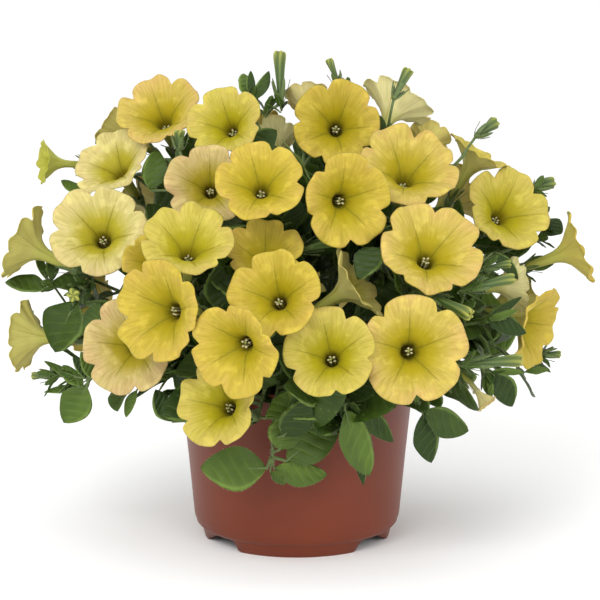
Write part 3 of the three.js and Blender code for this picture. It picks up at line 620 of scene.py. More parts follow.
def placed_buds(solids, shoots):
    buds = []
    for u, v, depth, tip_u, tip_v, tip_depth, width in BUDS:
        for shift in (0, 6, -6, 12, -12, 18, -18):
            base = seen(u, v, depth + shift)
            tip = seen(tip_u, tip_v, tip_depth + shift)
            if solids.owner(tip) is None:
                continue
            along = (tip - base).normalized()
            shoot, root = nearest_on_shoots(shoots, base, along)
            buds.append(Bud(root, base, tip, width, shoot.stem))
            break
    return buds


def leaves_by_rule(solids, shoots):
    leaves = []
    for stem in range(SIDE_TRUNKS + 1):
        for number, shoot in enumerate(s for s in shoots if s.stem == stem):
            draw = random_draws(1000 + 50 * stem + number)
            for i in range(shoot.tries):
                share = 0.45 + 0.53 * (i + draw()) / shoot.tries
                place = shoot.chord_point(share)
                length = LEAF_LENGTHS[0] + (LEAF_LENGTHS[1] - LEAF_LENGTHS[0]) * draw()
                spin = GOLDEN_ANGLE * i + ROUND * draw()
                tangent = (shoot.line[4] - shoot.line[2]).normalized()
                out = place - DOME_CENTRE
                out.z += 25
                out.normalize()
                side = turned(square_to(out, tangent), tangent, spin)
                roll = 50 * (draw() - 0.5)
                for turn in LEAF_TURNS:
                    heading = turned(side + out * 0.9, out, turn).normalized()
                    tip = place + heading * length
                    base = place.lerp(tip, 3 / length)
                    leaf = Leaf(shoot.point(share), base, tip, length * LEAF_ROUNDNESS, roll, out, stem)
                    if solids.owner(leaf.true_tip) is not None:
                        leaves.append(leaf)
                        break
    return leaves


def fits_between_blooms(leaf, blooms):
    """Whether a leaf keeps off every bloom's funnel, out of the space before its face, and
    from between a bloom and the front."""
    for share in (0.25, 0.5, 0.75, 1.0):
        for side in (-1, 0, 1):
            point = leaf_point(leaf, share, side, 0)
            for bloom in blooms:
                beside = point - bloom.ring.place(0, 0, bloom.length * 0.8)
                nearer = beside.dot(VIEW_TOWARD)
                aside = (beside - VIEW_TOWARD * nearer).length
                if bloom.number <= len(FRONT_BLOOMS) and 4 < nearer < 60 and aside < 0.42 * bloom.diameter:
                    return False
                away = point - bloom.ring.base
                height = away.dot(bloom.ring.axis)
                radius = (away - bloom.ring.axis * height).length
                wide = bloom.diameter / FULL_BLOOM
                funnel = 2.3 + 23 * max(height / bloom.length, 0) ** 5
                inside = -1 < height < bloom.length + 2.5 and radius < funnel * wide + 1.5
                before = bloom.length - 6 < height < bloom.length + 45 and radius < 25 * wide
                if inside or before:
                    return False
    return True


def filling_leaves(shoots, blooms, count):
    """More leaves in the depth of the plant, on the shoots that are near."""
    draw = random_draws(77)
    leaves = []
    for i in range(count):
        azimuth = math.degrees(GOLDEN_ANGLE * i)
        rise = -24 + 98 * (i + 0.5) / count
        share = 0.55 + 0.35 * draw()
        tip, out = on_dome(azimuth, rise, share)
        out.z += 0.5
        length = 24 + 16 * draw()
        spread = drawn_vector(draw)
        base = tip - (out.normalized() * 0.7 + spread).normalized() * length
        roll = 70 * (draw() - 0.5)
        shoot, root = nearest_on_shoots(shoots, base, (tip - base).normalized())
        if (root - base).length > 14:
            base = root.lerp(base, 14 / (root - base).length)
        leaf = Leaf(root, base, tip, (tip - base).length * 0.56, roll, out, shoot.stem)
        if (tip - base).length < 48 and fits_between_blooms(leaf, blooms):
            leaves.append(leaf)
    return leaves


def rosette(place, ahead, stem, lengths, width, blooms, draw):
    """Small narrow leaves that spread from one place, all round the way ahead."""
    leaves = []
    ring = Axis(place, ahead, BUD_SIDE)
    for i in range(5):
        outward = ring.place(GOLDEN_ANGLE * i + draw(), 1, 0) - place
        heading = (outward * (0.3 + 0.6 * draw()) + ahead * (0.6 + 0.4 * draw())).normalized()
        length = lengths[0] + (lengths[1] - lengths[0]) * draw()
        root = place - ahead * (0.8 * i)
        broad = width * (0.8 + 0.4 * draw())
        leaf = Leaf(root, root + heading, root + heading * length, broad, 0, ahead, stem, 0.45)
        if fits_between_blooms(leaf, blooms):
            leaves.append(leaf)
    return leaves


class Layout:
    """Everything's place, once for all the operators."""

    def __init__(self):
        solids = SolidStems()
        self.lines = trunk_lines()
        self.blooms = all_blooms()
        self.shoots = []
        for bloom in self.blooms:
            end = bloom.ring.place(0, 0, 1 - CALYX_DEPTH)
            self.shoots.append(grow_shoot(solids, self.lines, end, bloom.ring.axis, BLOOM_TRIES))
        tips = [(seen(*row), 0) for row in SIDE_SHOOTS]
        tips += [(on_dome(*row, 0.93)[0], LEAFY_TRIES) for row in BACK_SHOOTS]
        for end, tries in tips:
            direction = (end - DOME_CENTRE).normalized()
            if end.z < POT_HEIGHT:
                direction *= 0.35
                direction.z = -0.95
                direction.normalize()
            self.shoots.append(grow_shoot(solids, self.lines, end, direction, tries))
        self.buds = placed_buds(solids, self.shoots)
        self.leaves = placed_leaves(solids, self.shoots) + leaves_by_rule(solids, self.shoots)
        self.fillers = filling_leaves(self.shoots, self.blooms, 420)
        self.bracts = []
        draw = random_draws(88)
        for bud in self.buds:
            ahead = (bud.tip - bud.base).normalized()
            foot = bud.base - ahead * 0.5
            self.bracts += rosette(foot, ahead, bud.stem, (9, 15), 3.8, self.blooms, draw)
            if (bud.base - bud.root).length > 9:
                middle = bud.root.lerp(bud.base, 0.45)
                self.bracts += rosette(middle, ahead, bud.stem, (10, 17), 5.2, self.blooms, draw)
        for shoot in self.shoots[len(self.blooms):]:
            if shoot.end.z < POT_HEIGHT:
                continue
            ahead = (shoot.point(1) - shoot.point(0.95)).normalized()
            self.bracts += rosette(shoot.point(0.97), ahead, shoot.stem, (9, 17), 4.5, self.blooms, draw)


# Mesh tools


def rolled(bm, columns, rows, place, material):
    """A sheet of columns by rows whose points place(u, v) lays in space. Where its edges or
    the points of a row meet they are merged, so a sheet that closes on itself is a solid.
    Its faces are turned out."""
    bm.loops.layers.uv.verify()
    verts = bmesh.ops.create_grid(bm, x_segments=columns, y_segments=rows, size=1, calc_uvs=True)["verts"]
    for vert in verts:
        vert.co = place((vert.co.x + 1) / 2, (vert.co.y + 1) / 2)
    faces = {face for vert in verts for face in vert.link_faces}
    for face in faces:
        face.material_index = material
        face.smooth = True
    bmesh.ops.remove_doubles(bm, verts=verts, dist=MERGE)
    faces = [face for face in faces if face.is_valid]
    bmesh.ops.recalc_face_normals(bm, faces=faces)
    return faces


def add_tube(bm, points, radii, sides, material):
    """A closed tube along points, with a radius for each, drawn to a point at both ends."""
    rings = []
    side = RING_SIDE
    for i, place in enumerate(points):
        ahead = (points[min(i + 1, len(points) - 1)] - points[max(i - 1, 0)]).normalized()
        rings.append(Axis(place, ahead, side))
        side = rings[-1].side
    rows = len(points) + 1

    def place(u, v):
        row = round(v * rows)
        if row in (0, rows):
            return points[0] if row == 0 else points[-1]
        return rings[row - 1].place(2 * math.pi * u, radii[row - 1], 0)

    return rolled(bm, sides, rows, place, material)


def add_hair(bm, root, direction, length, thickness):
    turn = direction.to_track_quat("Z", "Y").to_matrix().to_4x4()
    place = Matrix.Translation(root + direction * (length / 2)) @ turn
    verts = bmesh.ops.create_cone(
        bm, cap_ends=True, segments=3, radius1=thickness, radius2=0, depth=length, matrix=place
    )["verts"]
    for face in {face for vert in verts for face in vert.link_faces}:
        face.material_index = HAIR


class Gathering:
    """Small pieces, each made in a bmesh of its own, that are joined as one object."""

    def __init__(self, name, materials):
        self.name = name
        self.materials = materials
        self.meshes = []

    def add(self, make, tint):
        """Calls make with an empty bmesh and keeps what it makes, with a tint from 0 to 1."""
        bm = bmesh.new()
        tints = bm.verts.layers.float.new("tint")
        bm.loops.layers.uv.verify()
        make(bm)
        for vert in bm.verts:
            vert[tints] = tint
        mesh = bpy.data.meshes.new("part of " + self.name)
        bm.to_mesh(mesh)
        bm.free()
        self.meshes.append(mesh)

    def finish(self, slot, *nodes):
        bm = bmesh.new()
        for mesh in self.meshes:
            bm.from_mesh(mesh)
            bpy.data.meshes.remove(mesh)
        bm.transform(INTO_FRAME)
        return finished(bm, self.name, self.materials, slot, *nodes)


def linked(bm, name, materials):
    """The object made of a bmesh, in the scene."""
    mesh = bpy.data.meshes.new(name)
    bm.to_mesh(mesh)
    bm.free()
    for material in materials:
        mesh.materials.append(material)
    made = bpy.data.objects.new(name, mesh)
    bpy.context.scene.collection.objects.link(made)
    return made


def finished(bm, name, materials, slot, *nodes):
    """The object made of a bmesh, riding on the part in place of its nodes."""
    piece = linked(bm, name, materials)
    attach(piece, "root")
    if nodes:
        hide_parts(*nodes)
    return piece


# Leaves


def leaf_half_width(leaf, t):
    """Widest before its middle, a wedge at the stalk and blunt at the tip."""
    taper = leaf.taper * (1.25 - 0.3 * smooth_step(0.3, 0.9, t))
    return leaf.width / 2 * math.sin(math.pi * min(max(t, 0), 1) ** 0.88) ** taper


def leaf_point(leaf, t, side, lift):
    """A point of the blade: t along the rib, side from -1 to 1 across it, lift off it."""
    across = side * leaf_half_width(leaf, t)
    folded = BLADE_FOLD * (math.sqrt(across * across + 0.6) - 0.77)
    droop = BLADE_CURL * leaf.length * t * t
    rise = folded - droop + lift
    return leaf.base + leaf.along * (leaf.length * t) + leaf.across * across + leaf.normal * rise


def add_leaf(bm, leaf, draw, columns, rows, hairs):
    """A blade with a waved edge and quilted veins, on its stalk, with hairs on its edge."""
    wave = 0.045 * leaf.width + 0.3
    phases = [ROUND * draw() for _ in range(3)]
    veins = 5 + round(draw())
    sag = 0.12 * (draw() - 0.5)

    def relief(t, side):
        edge = abs(side)
        ripple = math.sin(9 * t + phases[0] + (1.5 if side > 0 else 0)) + 0.5 * math.sin(17 * t + phases[1])
        quilt = math.cos(2 * math.pi * (veins * (t - 0.36 * edge) + 0.5))
        curl = -0.10 * leaf_half_width(leaf, t) * edge**3
        return wave * ripple * edge**2 * 0.6 + 0.035 * leaf.width * quilt * edge * (1 - edge) * 2 + curl

    def place(u, v):
        upper = u <= 0.5
        side = 1 - 4 * u if upper else 4 * u - 3
        bend = sag * leaf.length * math.sin(math.pi * v)
        skin = 0.22 * math.sqrt(max(1 - side * side, 0)) + 0.05
        lift = relief(v, side) * math.sin(math.pi * min(v + 0.04, 1)) ** 0.5 + (skin if upper else -skin)
        point = leaf_point(leaf, v, side, lift if 0 < v < 1 else 0)
        return point + leaf.across * bend

    faces = rolled(bm, 2 * columns, rows, place, BLADE)
    uv = bm.loops.layers.uv.verify()
    for face in faces:
        middle = sum(loop[uv].uv.x for loop in face.loops) / len(face.loops)
        face.material_index = BLADE if middle < 0.5 else UNDERSIDE
        for loop in face.loops:
            u, v = loop[uv].uv
            across = 1 - 2 * u if middle < 0.5 else 2 * u - 1
            loop[uv].uv = (across, v)
    stalk = max(0.35, 0.035 * leaf.width + 0.3)
    drop = leaf.normal * -0.35
    points = [leaf.root, leaf.root.lerp(leaf.base, 0.5) - leaf.normal * 0.6, leaf.base + drop]
    points += [leaf_point(leaf, t, 0, -0.3) + leaf.across * (sag * leaf.length * math.sin(math.pi * t))
               for t in (0.2, 0.45, 0.7, 0.9)]
    add_tube(bm, points, [stalk * 1.2, stalk, stalk * 0.95, stalk * 0.7, stalk * 0.5, 0.22, 0.1], 6, STEM)
    for i in range(hairs):
        t = 0.06 + 0.88 * (i // 2 + draw()) / (hairs / 2)
        side = 1 if i % 2 else -1
        root = place(0 if side > 0 else 0.5, min(t, 0.97))
        heading = leaf.across * side + leaf.along * (0.4 + 0.5 * draw()) + leaf.normal * (draw() - 0.4)
        add_hair(bm, root, heading.normalized(), 0.5 + 0.4 * draw(), 0.06)


def add_large_leaf(bm, leaf, draw):
    hairs = bpy.context.scene.petunia_leaves.hairs
    add_leaf(bm, leaf, draw, 12, 16, hairs if leaf.width > 8 else hairs // 2)


def add_small_leaf(bm, leaf, draw):
    add_leaf(bm, leaf, draw, 8, 12, bpy.context.scene.petunia_leaves.hairs // 4)


def add_bract(bm, leaf, draw):
    add_leaf(bm, leaf, draw, 4, 8, 6)


def add_rod_hairs(bm, point_at, radius, length, spacing, draw):
    """Short pale hairs that stand all round a rod, thicker set towards its far end."""
    for i in range(int(length / spacing)):
        share = min(((i + draw()) * spacing / length) ** 0.8, 0.995)
        root = point_at(share)
        ahead = (point_at(min(share + 0.02, 1)) - point_at(max(share - 0.02, 0))).normalized()
        ring = Axis(root, ahead, RING_SIDE)
        angle = ROUND * draw()
        outward = (ring.place(angle, 1, 0) - root + ahead * 0.3 * (draw() - 0.3)).normalized()
        add_hair(bm, root + outward * radius * 0.9, outward, 0.9 + 0.8 * draw(), 0.07)


def add_shoot(bm, shoot, draw):
    points = [shoot.point(i / 14) for i in range(15)]
    radii = [SHOOT_RADIUS * (1.15 - 0.35 * i / 14) for i in range(15)]
    add_tube(bm, points, radii, 8, STEM)
    length = sum((b - a).length for a, b in zip(points, points[1:]))
    add_rod_hairs(bm, shoot.point, SHOOT_RADIUS, length, 0.8, draw)


def add_trunk(bm, line):
    points = [Vector(spline([tuple(p) for p in line], i / 18)) for i in range(19)]
    radii = [2.1 - 0.7 * i / 18 for i in range(19)]
    add_tube(bm, points, radii, 12, STEM)


def add_sepal(bm, ring, angle, foot, knee, tip, width, draw):
    """A narrow green sepal: foot, knee and tip are each a radius and a height."""
    bend = 0.12 * (draw() - 0.5)

    def place(u, v):
        radius, height = spline((foot, knee, tip), v)
        upper = u <= 0.5
        side = 1 - 4 * u if upper else 4 * u - 3
        half = width / 2 * (0.55 + 0.9 * v - 1.35 * v**4) * (1 if v < 1 else 0)
        skin = 0.16 * math.sqrt(max(1 - side * side, 0)) + 0.03
        turn = angle + bend * v + side * half / max(radius, 1.2)
        return ring.place(turn, radius + (-skin if upper else skin) + 0.25 * side * side * v, height)

    rolled(bm, 8, 7, place, STEM)
    for i in range(14):
        v = 0.1 + 0.85 * (i + draw()) / 14
        root = place(0.0 if i % 2 else 0.5, v)
        outward = ring.place(angle, 1, 0) - ring.base + ring.axis * (draw() - 0.2)
        outward += (ring.place(angle + 1.57, 1, 0) - ring.base) * (0.8 if i % 2 else -0.8)
        add_hair(bm, root, outward.normalized(), 0.7 + 0.5 * draw(), 0.06)


def add_calyx(bm, bloom, draw):
    """The green cup under a bloom's tube, with five narrow sepals between its lobes."""
    ring = bloom.ring
    outline = (
        (0.9, -CALYX_DEPTH), (1.4, -5.4), (2.2, -3.4), (2.75, -1.4), (2.9, 0.2), (2.55, 0.3), (1.6, -1.0),
    )

    def place(u, v):
        radius, height = spline(outline, v)
        if v in (0, 1):
            radius = 0
        rib = 1 + 0.07 * math.cos(10 * math.pi * u)
        return ring.place(2 * math.pi * u, radius * rib, height)

    rolled(bm, 20, 12, place, STEM)
    for i in range(LOBES):
        angle = 2 * math.pi * (i + 0.5) / LOBES
        spread = 0.8 * (draw() - 0.5)
        add_sepal(bm, ring, angle, (2.5, -1.6), (3.5 + spread, 3.5), (6.4 + spread, 9), 2.0, draw)


def add_bud(bm, bud, draw):
    """A slim pleated spindle, striped pale and green, in its cup of sepals."""
    axis = bud.tip - bud.base
    length = axis.length
    ring = Axis(bud.base, axis.normalized(), BUD_SIDE)
    slim = bud.width
    outline = ((0.8, 0.4), (1.3, 2.5), (0.22 * slim, 0.25 * length), (0.27 * slim, 0.45 * length),
               (0.33 * slim, 0.66 * length), (0.4 * slim, 0.84 * length), (0.41 * slim, 0.94 * length),
               (0.3 * slim, 0.99 * length), (0.1 * slim, 0.97 * length))

    def place(u, v):
        radius, height = spline(outline, v)
        pleat = 1 + (0.06 + 0.2 * v**3) * math.cos(2 * math.pi * LOBES * u)
        twist = 0.9 * v * v
        height += 0.04 * length * v**6 * math.cos(2 * math.pi * LOBES * u)
        if v in (0, 1):
            radius = 0
        return ring.place(2 * math.pi * u + twist, radius * pleat, height)

    rolled(bm, 30, 18, place, BUD)
    cup = ((1.0, 0), (1.6, 1.0), (1.9, 2.4), (1.7, 2.7), (1.0, 2.2))

    def cup_place(u, v):
        radius, height = spline(cup, v)
        return ring.place(2 * math.pi * u, 0 if v in (0, 1) else radius, height)

    rolled(bm, 12, 8, cup_place, STEM)
    tip = (0.4 * slim + 2.2, max(0.48 * length, 9))
    for i in range(LOBES):
        angle = 2 * math.pi * (i + 0.5) / LOBES
        add_sepal(bm, ring, angle, (1.5, 1.2), (0.2 * slim + 1.6, 0.2 * length), tip, 2.6, draw)
    stalk = [bud.root, bud.root.lerp(bud.base, 0.5), bud.base + ring.axis * 0.8]
    add_tube(bm, stalk, [0.8, 0.75, 0.8], 8, STEM)


# Blooms


def petal_share(u):
    """Which lobe an angle is in, and how far from its middle, from -1 to 1."""
    turn = LOBES * u + 0.5
    return math.floor(turn) % LOBES, 2 * (turn - math.floor(turn) - 0.5)


def corolla_point(bloom, u, share, inner, ruffle):
    """A point of the funnel: u round it, share from the calyx to the rim."""
    wide = bloom.diameter / FULL_BLOOM
    long = bloom.length / FULL_LENGTH
    radius, height = spline(FUNNEL, share)
    ahead = spline(FUNNEL, min(share + 0.01, 1))
    behind = spline(FUNNEL, max(share - 0.01, 0))
    slope = math.atan2(ahead[1] - behind[1], ahead[0] - behind[0])
    if inner:
        radius -= PETAL_THICKNESS * math.sin(slope)
        height += PETAL_THICKNESS * math.cos(slope)
    out = radius / FULL_RIM
    spread = smooth_step(0.25, 1, out)
    lobe, x = petal_share(u)
    neighbour = (lobe + (1 if x > 0 else -1)) % LOBES
    mix = 0.5 * abs(x) ** 3
    reach = bloom.lobes[lobe][0] * (1 - mix) + bloom.lobes[neighbour][0] * mix
    lift = bloom.lobes[lobe][1] * (1 - mix) + bloom.lobes[neighbour][1] * mix
    notch = 0.11 * math.exp(-(((1 - abs(x)) / 0.14) ** 2))
    reach = 1.02 * reach * (1 - 0.085 * abs(x) ** 3) - notch
    radius *= 1 + (reach - 1) * spread**2
    groove = -0.5 * math.exp(-((x / 0.2) ** 2)) * smooth_step(0.15, 0.4, out) * (1 - 0.4 * spread)
    pillow = 1.4 * math.sin(math.pi * x) ** 2 * spread
    drop = -2.0 * abs(x) ** 4 * spread
    recurve = -1.7 * smooth_step(0.8, 1.06, out) * (0.6 + 0.4 * math.cos(math.pi * x))
    wave = sum(a * math.sin(k * 2 * math.pi * u + phase) for a, k, phase in ruffle) * spread**2
    height += (lift * spread + groove + pillow + drop + recurve + wave) * wide
    scale = 1 + (wide - 1) * smooth_step(0, 0.45, share)
    return bloom.ring.place(2 * math.pi * u, radius * scale, height * long)


def add_corolla(bm, bloom, columns, draw):
    """The petals, fused to a funnel: up its outside to the rim and down into the throat."""
    long = bloom.length / FULL_LENGTH
    outer_rows, inner_rows = 19, 19
    rows = outer_rows + inner_rows
    ruffle = [(height, waves, ROUND * draw()) for height, waves in RUFFLES]

    def row_share(row):
        """How far out on the funnel a row lies, and whether it is on the inside."""
        if row <= outer_rows:
            return (row / outer_rows) ** 0.9, False
        return 1 - (1 - THROAT_SHARE) * (row - outer_rows) / inner_rows, True

    def place(u, v):
        row = round(v * rows)
        share, inner = row_share(row)
        if row in (0, rows):
            return bloom.ring.place(0, 0, FUNNEL[0][1] if row == 0 else THROAT_FLOOR * long)
        return corolla_point(bloom, u % 1, share, inner, ruffle)

    faces = rolled(bm, columns, rows, place, FRONT)
    uv = bm.loops.layers.uv.verify()
    for face in faces:
        outside = sum(loop[uv].uv.y for loop in face.loops) / len(face.loops) < outer_rows / rows
        face.material_index = BACK if outside else FRONT
        for loop in face.loops:
            u, v = loop[uv].uv
            share, _ = row_share(round(v * rows))
            loop[uv].uv = (u, spline(FUNNEL, share)[0] / FULL_RIM)


def add_anthers(bm, bloom, depth, draw):
    """Pale anthers round the stigma in the throat, each on its thread."""
    long = bloom.length / FULL_LENGTH
    for i in range(LOBES):
        angle = 2 * math.pi * (i + 0.3 * draw()) / LOBES
        radius = 1.35 + 0.5 * draw()
        height = (depth + 2.2 * draw()) * long
        head = bloom.ring.place(angle, radius, height)
        tilt = (bloom.ring.axis + (head - bloom.ring.place(0, 0, height)) * (draw() - 0.3)).normalized()
        turn = tilt.to_track_quat("Z", "Y").to_matrix().to_4x4()
        shape = Matrix.Translation(head) @ turn @ Matrix.Diagonal((0.78, 0.58, 0.95, 1))
        ball = bmesh.ops.create_uvsphere(bm, u_segments=10, v_segments=7, radius=1, matrix=shape)
        for face in {face for vert in ball["verts"] for face in vert.link_faces}:
            face.material_index = ANTHER
            face.smooth = True
        foot = bloom.ring.place(angle, 1.6, 12 * long)
        add_tube(bm, [foot, foot.lerp(head, 0.5), head], [0.2, 0.2, 0.2], 5, ANTHER)
    foot, top = bloom.ring.place(0, 0.2, 8 * long), bloom.ring.place(1, 0.4, (depth + 1) * long)
    add_tube(bm, [foot, foot.lerp(top, 0.9), top], [0.4, 0.4, 0.85], 8, STIGMA)


# Pot and soil


def add_pot(bm, sides):
    """The pot's wall turned from one outline, with its foot notched and its lip rounded."""
    outline = (
        (0, 6.8), (47.6, 6.8), (49.0, 6.4), (49.4, 5.6), (49.4, 0.4), (49.7, 0), (51.4, 0),
        (51.7, 0.3), (53.1, 6.0), (53.5, 6.6), (55.4, 8.0), (56.2, 8.9), (56.3, 10.2), (57.0, 11.6),
        (57.4, 13.2), (60.5, 46), (63.9, 79.2), (64.2, 79.9), (65.1, 80.5), (65.5, 80.9), (65.6, 81.6),
        (66.1, 92.2), (66.1, 93.4), (65.7, 94), (65.0, 94), (64.7, 93.6), (63.0, 82.0), (62.5, 80.2),
        (58.0, 32), (54.6, 9.6), (53.6, 8.5), (52.4, 8.2), (0, 8.2),
    )
    verts = [bm.verts.new((radius, 0, height)) for radius, height in outline]
    edges = [bm.edges.new(pair) for pair in zip(verts, verts[1:])]
    bmesh.ops.spin(
        bm, geom=verts + edges, cent=(0, 0, 0), axis=(0, 0, 1), angle=2 * math.pi, steps=sides, use_merge=True
    )
    bmesh.ops.remove_doubles(bm, verts=bm.verts, dist=0.01)
    for vert in bm.verts:
        azimuth = math.degrees(math.atan2(vert.co.x, -vert.co.y)) % 360
        if vert.co.z < 6.5 and math.hypot(vert.co.x, vert.co.y) > 49:
            vert.co.z = max(vert.co.z, min(notch_height(azimuth), 6.4))
    bmesh.ops.recalc_face_normals(bm, faces=bm.faces)
    for face in bm.faces:
        face.smooth = True


def notch_height(azimuth):
    """How far up the foot is cut away: four notches with slanting ends."""
    quarter = azimuth % 180
    along = quarter if quarter <= 90 else 180 - quarter
    rising = (along - 37.6) / (43 - 37.6)
    falling = (74.6 - along) / (74.6 - 57)
    return 6.6 * min(max(min(rising, falling), 0), 1)


def add_soil(bm):
    """The soil's bed, turned from one outline, with a rough top."""
    outline = (
        (0, 8.6), (52, 9.6), (61.0, 76), (60.4, 79), (57, 81.2), (45, 82.2), (30, 83.2), (15, 84), (0, 84.4),
    )

    def place(u, v):
        radius, height = spline(outline, v)
        if v in (0, 1):
            radius = 0
        top = smooth_step(76, 80, height)
        x, y = radius * math.sin(2 * math.pi * u), radius * math.cos(2 * math.pi * u)
        lump = noise.fractal(Vector((x, y, 0)) * 0.16, 0.6, 2.2, 4)
        return Vector((x, y, height + top * 1.5 * lump * (1 if 0 < v < 1 else 0)))

    rolled(bm, 120, 90, place, 0)


def add_crumb(bm, draw):
    """A loose crumb that lies on the soil."""
    angle, radius = ROUND * draw(), 58 * math.sqrt(draw())
    size = 0.7 + 1.6 * draw() ** 2
    place = Matrix.Translation((radius * math.sin(angle), radius * math.cos(angle), 84.2 - 0.045 * radius))
    turn = Matrix.Rotation(ROUND * draw(), 4, Vector((draw(), draw(), draw() + 0.1)))
    shape = Matrix.Diagonal((size, size * (0.5 + 0.4 * draw()), size * (0.5 + 0.4 * draw()), 1))
    ball = bmesh.ops.create_icosphere(bm, subdivisions=1, radius=1, matrix=place @ turn @ shape)
    for vert in ball["verts"]:
        vert.co += drawn_vector(draw) * size * 0.35


# Materials


def scaled(rgb, share, lift=0):
    """A colour made darker or lighter, in whole steps from 0 to 255."""
    return tuple(min(255, round(share * part + lift)) for part in rgb)


def linear(rgb):
    """A colour as the eye sees it, from 0 to 255, as the light that a shader mixes."""
    shares = [part / 255 for part in rgb]
    return tuple(s / 12.92 if s <= 0.04045 else ((s + 0.055) / 1.055) ** 2.4 for s in shares) + (1.0,)


class Shading:
    """A material's node tree, built up by short calls."""

    def __init__(self, name, roughness):
        self.material = bpy.data.materials.new(name)
        self.material.use_nodes = True
        self.tree = self.material.node_tree
        self.surface = self.tree.nodes["Principled BSDF"]
        self.surface.inputs["Roughness"].default_value = roughness

    def node(self, kind, **settings):
        made = self.tree.nodes.new(kind)
        for key, value in settings.items():
            setattr(made, key, value)
        return made

    def put(self, socket, value):
        if hasattr(value, "links"):
            self.tree.links.new(value, socket)
        else:
            socket.default_value = value

    def math(self, operation, *values):
        made = self.node("ShaderNodeMath", operation=operation)
        for socket, value in zip(made.inputs, values):
            self.put(socket, value)
        return made.outputs[0]

    def times(self, *values):
        return self.math("MULTIPLY", *values)

    def plus(self, *values):
        return self.math("ADD", *values)

    def less(self, *values):
        return self.math("SUBTRACT", *values)

    def step(self, value, low, high, to_low=0.0, to_high=1.0):
        made = self.node("ShaderNodeMapRange", interpolation_type="SMOOTHSTEP", clamp=True)
        for socket, given in zip(made.inputs, (value, low, high, to_low, to_high)):
            self.put(socket, given)
        return made.outputs[0]

    def mix(self, factor, first, second):
        made = self.node("ShaderNodeMix", data_type="RGBA")
        for number, value in ((0, factor), (6, first), (7, second)):
            self.put(made.inputs[number], value)
        return made.outputs[2]

    def ramp(self, value, stops):
        made = self.node("ShaderNodeValToRGB")
        elements = made.color_ramp.elements
        while len(elements) < len(stops):
            elements.new(1)
        for element, (place, colour) in zip(elements, stops):
            element.position = place
            element.color = linear(colour)
        self.put(made.inputs[0], value)
        return made.outputs[0]

    def noise(self, vector, scale, detail=3.0):
        made = self.node("ShaderNodeTexNoise")
        self.put(made.inputs["Vector"], vector)
        made.inputs["Scale"].default_value = scale
        made.inputs["Detail"].default_value = detail
        return made.outputs["Fac"]

    def place(self):
        return self.node("ShaderNodeTexCoord").outputs["Object"]

    def sheet(self):
        """The two coordinates of the piece's own sheet."""
        parts = self.node("ShaderNodeSeparateXYZ")
        self.put(parts.inputs[0], self.node("ShaderNodeUVMap").outputs[0])
        return parts.outputs[0], parts.outputs[1]

    def vector(self, x, y, z=0.0):
        made = self.node("ShaderNodeCombineXYZ")
        for socket, value in zip(made.inputs, (x, y, z)):
            self.put(socket, value)
        return made.outputs[0]

    def tint(self):
        return self.node("ShaderNodeAttribute", attribute_name="tint").outputs["Fac"]

    def bump(self, height, strength, distance):
        made = self.node("ShaderNodeBump")
        made.inputs["Strength"].default_value = strength
        made.inputs["Distance"].default_value = distance
        self.put(made.inputs["Height"], height)
        self.put(self.surface.inputs["Normal"], made.outputs[0])

    def colour(self, value):
        self.put(self.surface.inputs["Base Color"], value)

    def gloss(self, level):
        self.surface.inputs["Specular IOR Level"].default_value = level

    def velvet(self, weight, tone):
        self.surface.inputs["Sheen Weight"].default_value = weight
        self.surface.inputs["Sheen Roughness"].default_value = 0.5
        self.surface.inputs["Sheen Tint"].default_value = linear(tone)

    def glow_through(self, weight, radius):
        """Light that passes through thin living tissue."""
        self.surface.inputs["Subsurface Weight"].default_value = weight
        self.surface.inputs["Subsurface Radius"].default_value = radius
        self.surface.inputs["Subsurface Scale"].default_value = MM


def petal_lines(shade, u, out):
    """The main vein along each lobe's middle, and the fainter ones that leave it."""
    kink = shade.times(shade.less(shade.noise(shade.vector(u, out), 14), 0.5), 0.012)
    turn = shade.plus(shade.times(shade.plus(u, kink), LOBES), 0.5)
    x = shade.math("ABSOLUTE", shade.less(shade.math("FRACT", turn), 0.5))
    arc = shade.times(out, 2 * math.pi * FULL_RIM / LOBES)
    off = shade.times(x, arc)
    width = shade.less(1.05, shade.times(out, 0.65))
    main = shade.less(1.0, shade.step(off, shade.times(width, 0.1), width))
    main = shade.times(main, shade.step(out, 0.5, 0.97, 1.0, 0.0))
    star = shade.times(shade.step(off, 0.2, 3.2, 1.0, 0.0), shade.step(out, 0.2, 0.75, 1.0, 0.0))
    branches = 0.0
    for start, slope in ((0.16, 9.0), (0.3, 10.5), (0.46, 12.0), (0.62, 12.5)):
        lead = shade.times(shade.less(out, start), slope)
        gap = shade.math("ABSOLUTE", shade.less(off, lead))
        line = shade.times(shade.step(gap, 0.05, 0.45, 1.0, 0.0), shade.step(lead, 0.0, 0.6))
        branches = shade.math("MAXIMUM", line, branches)
    return main, shade.times(branches, shade.step(out, 0.7, 0.95, 1.0, 0.0)), star


def petal_streaks(shade, u, out):
    """Fine streaks that run out along the petals."""
    return shade.noise(shade.vector(shade.times(u, 34), out), 3.2, 4)


def petal_finish(shade, base, relief, strength, depth, velvet, velvet_tone):
    """A petal's colour, relief and sheen, and the light that comes through it."""
    shade.colour(base)
    shade.bump(relief, strength, depth * MM)
    shade.velvet(velvet, velvet_tone)
    shade.gloss(0.2)
    shade.glow_through(0.18, (1.6, 1.1, 0.35))
    return shade.material


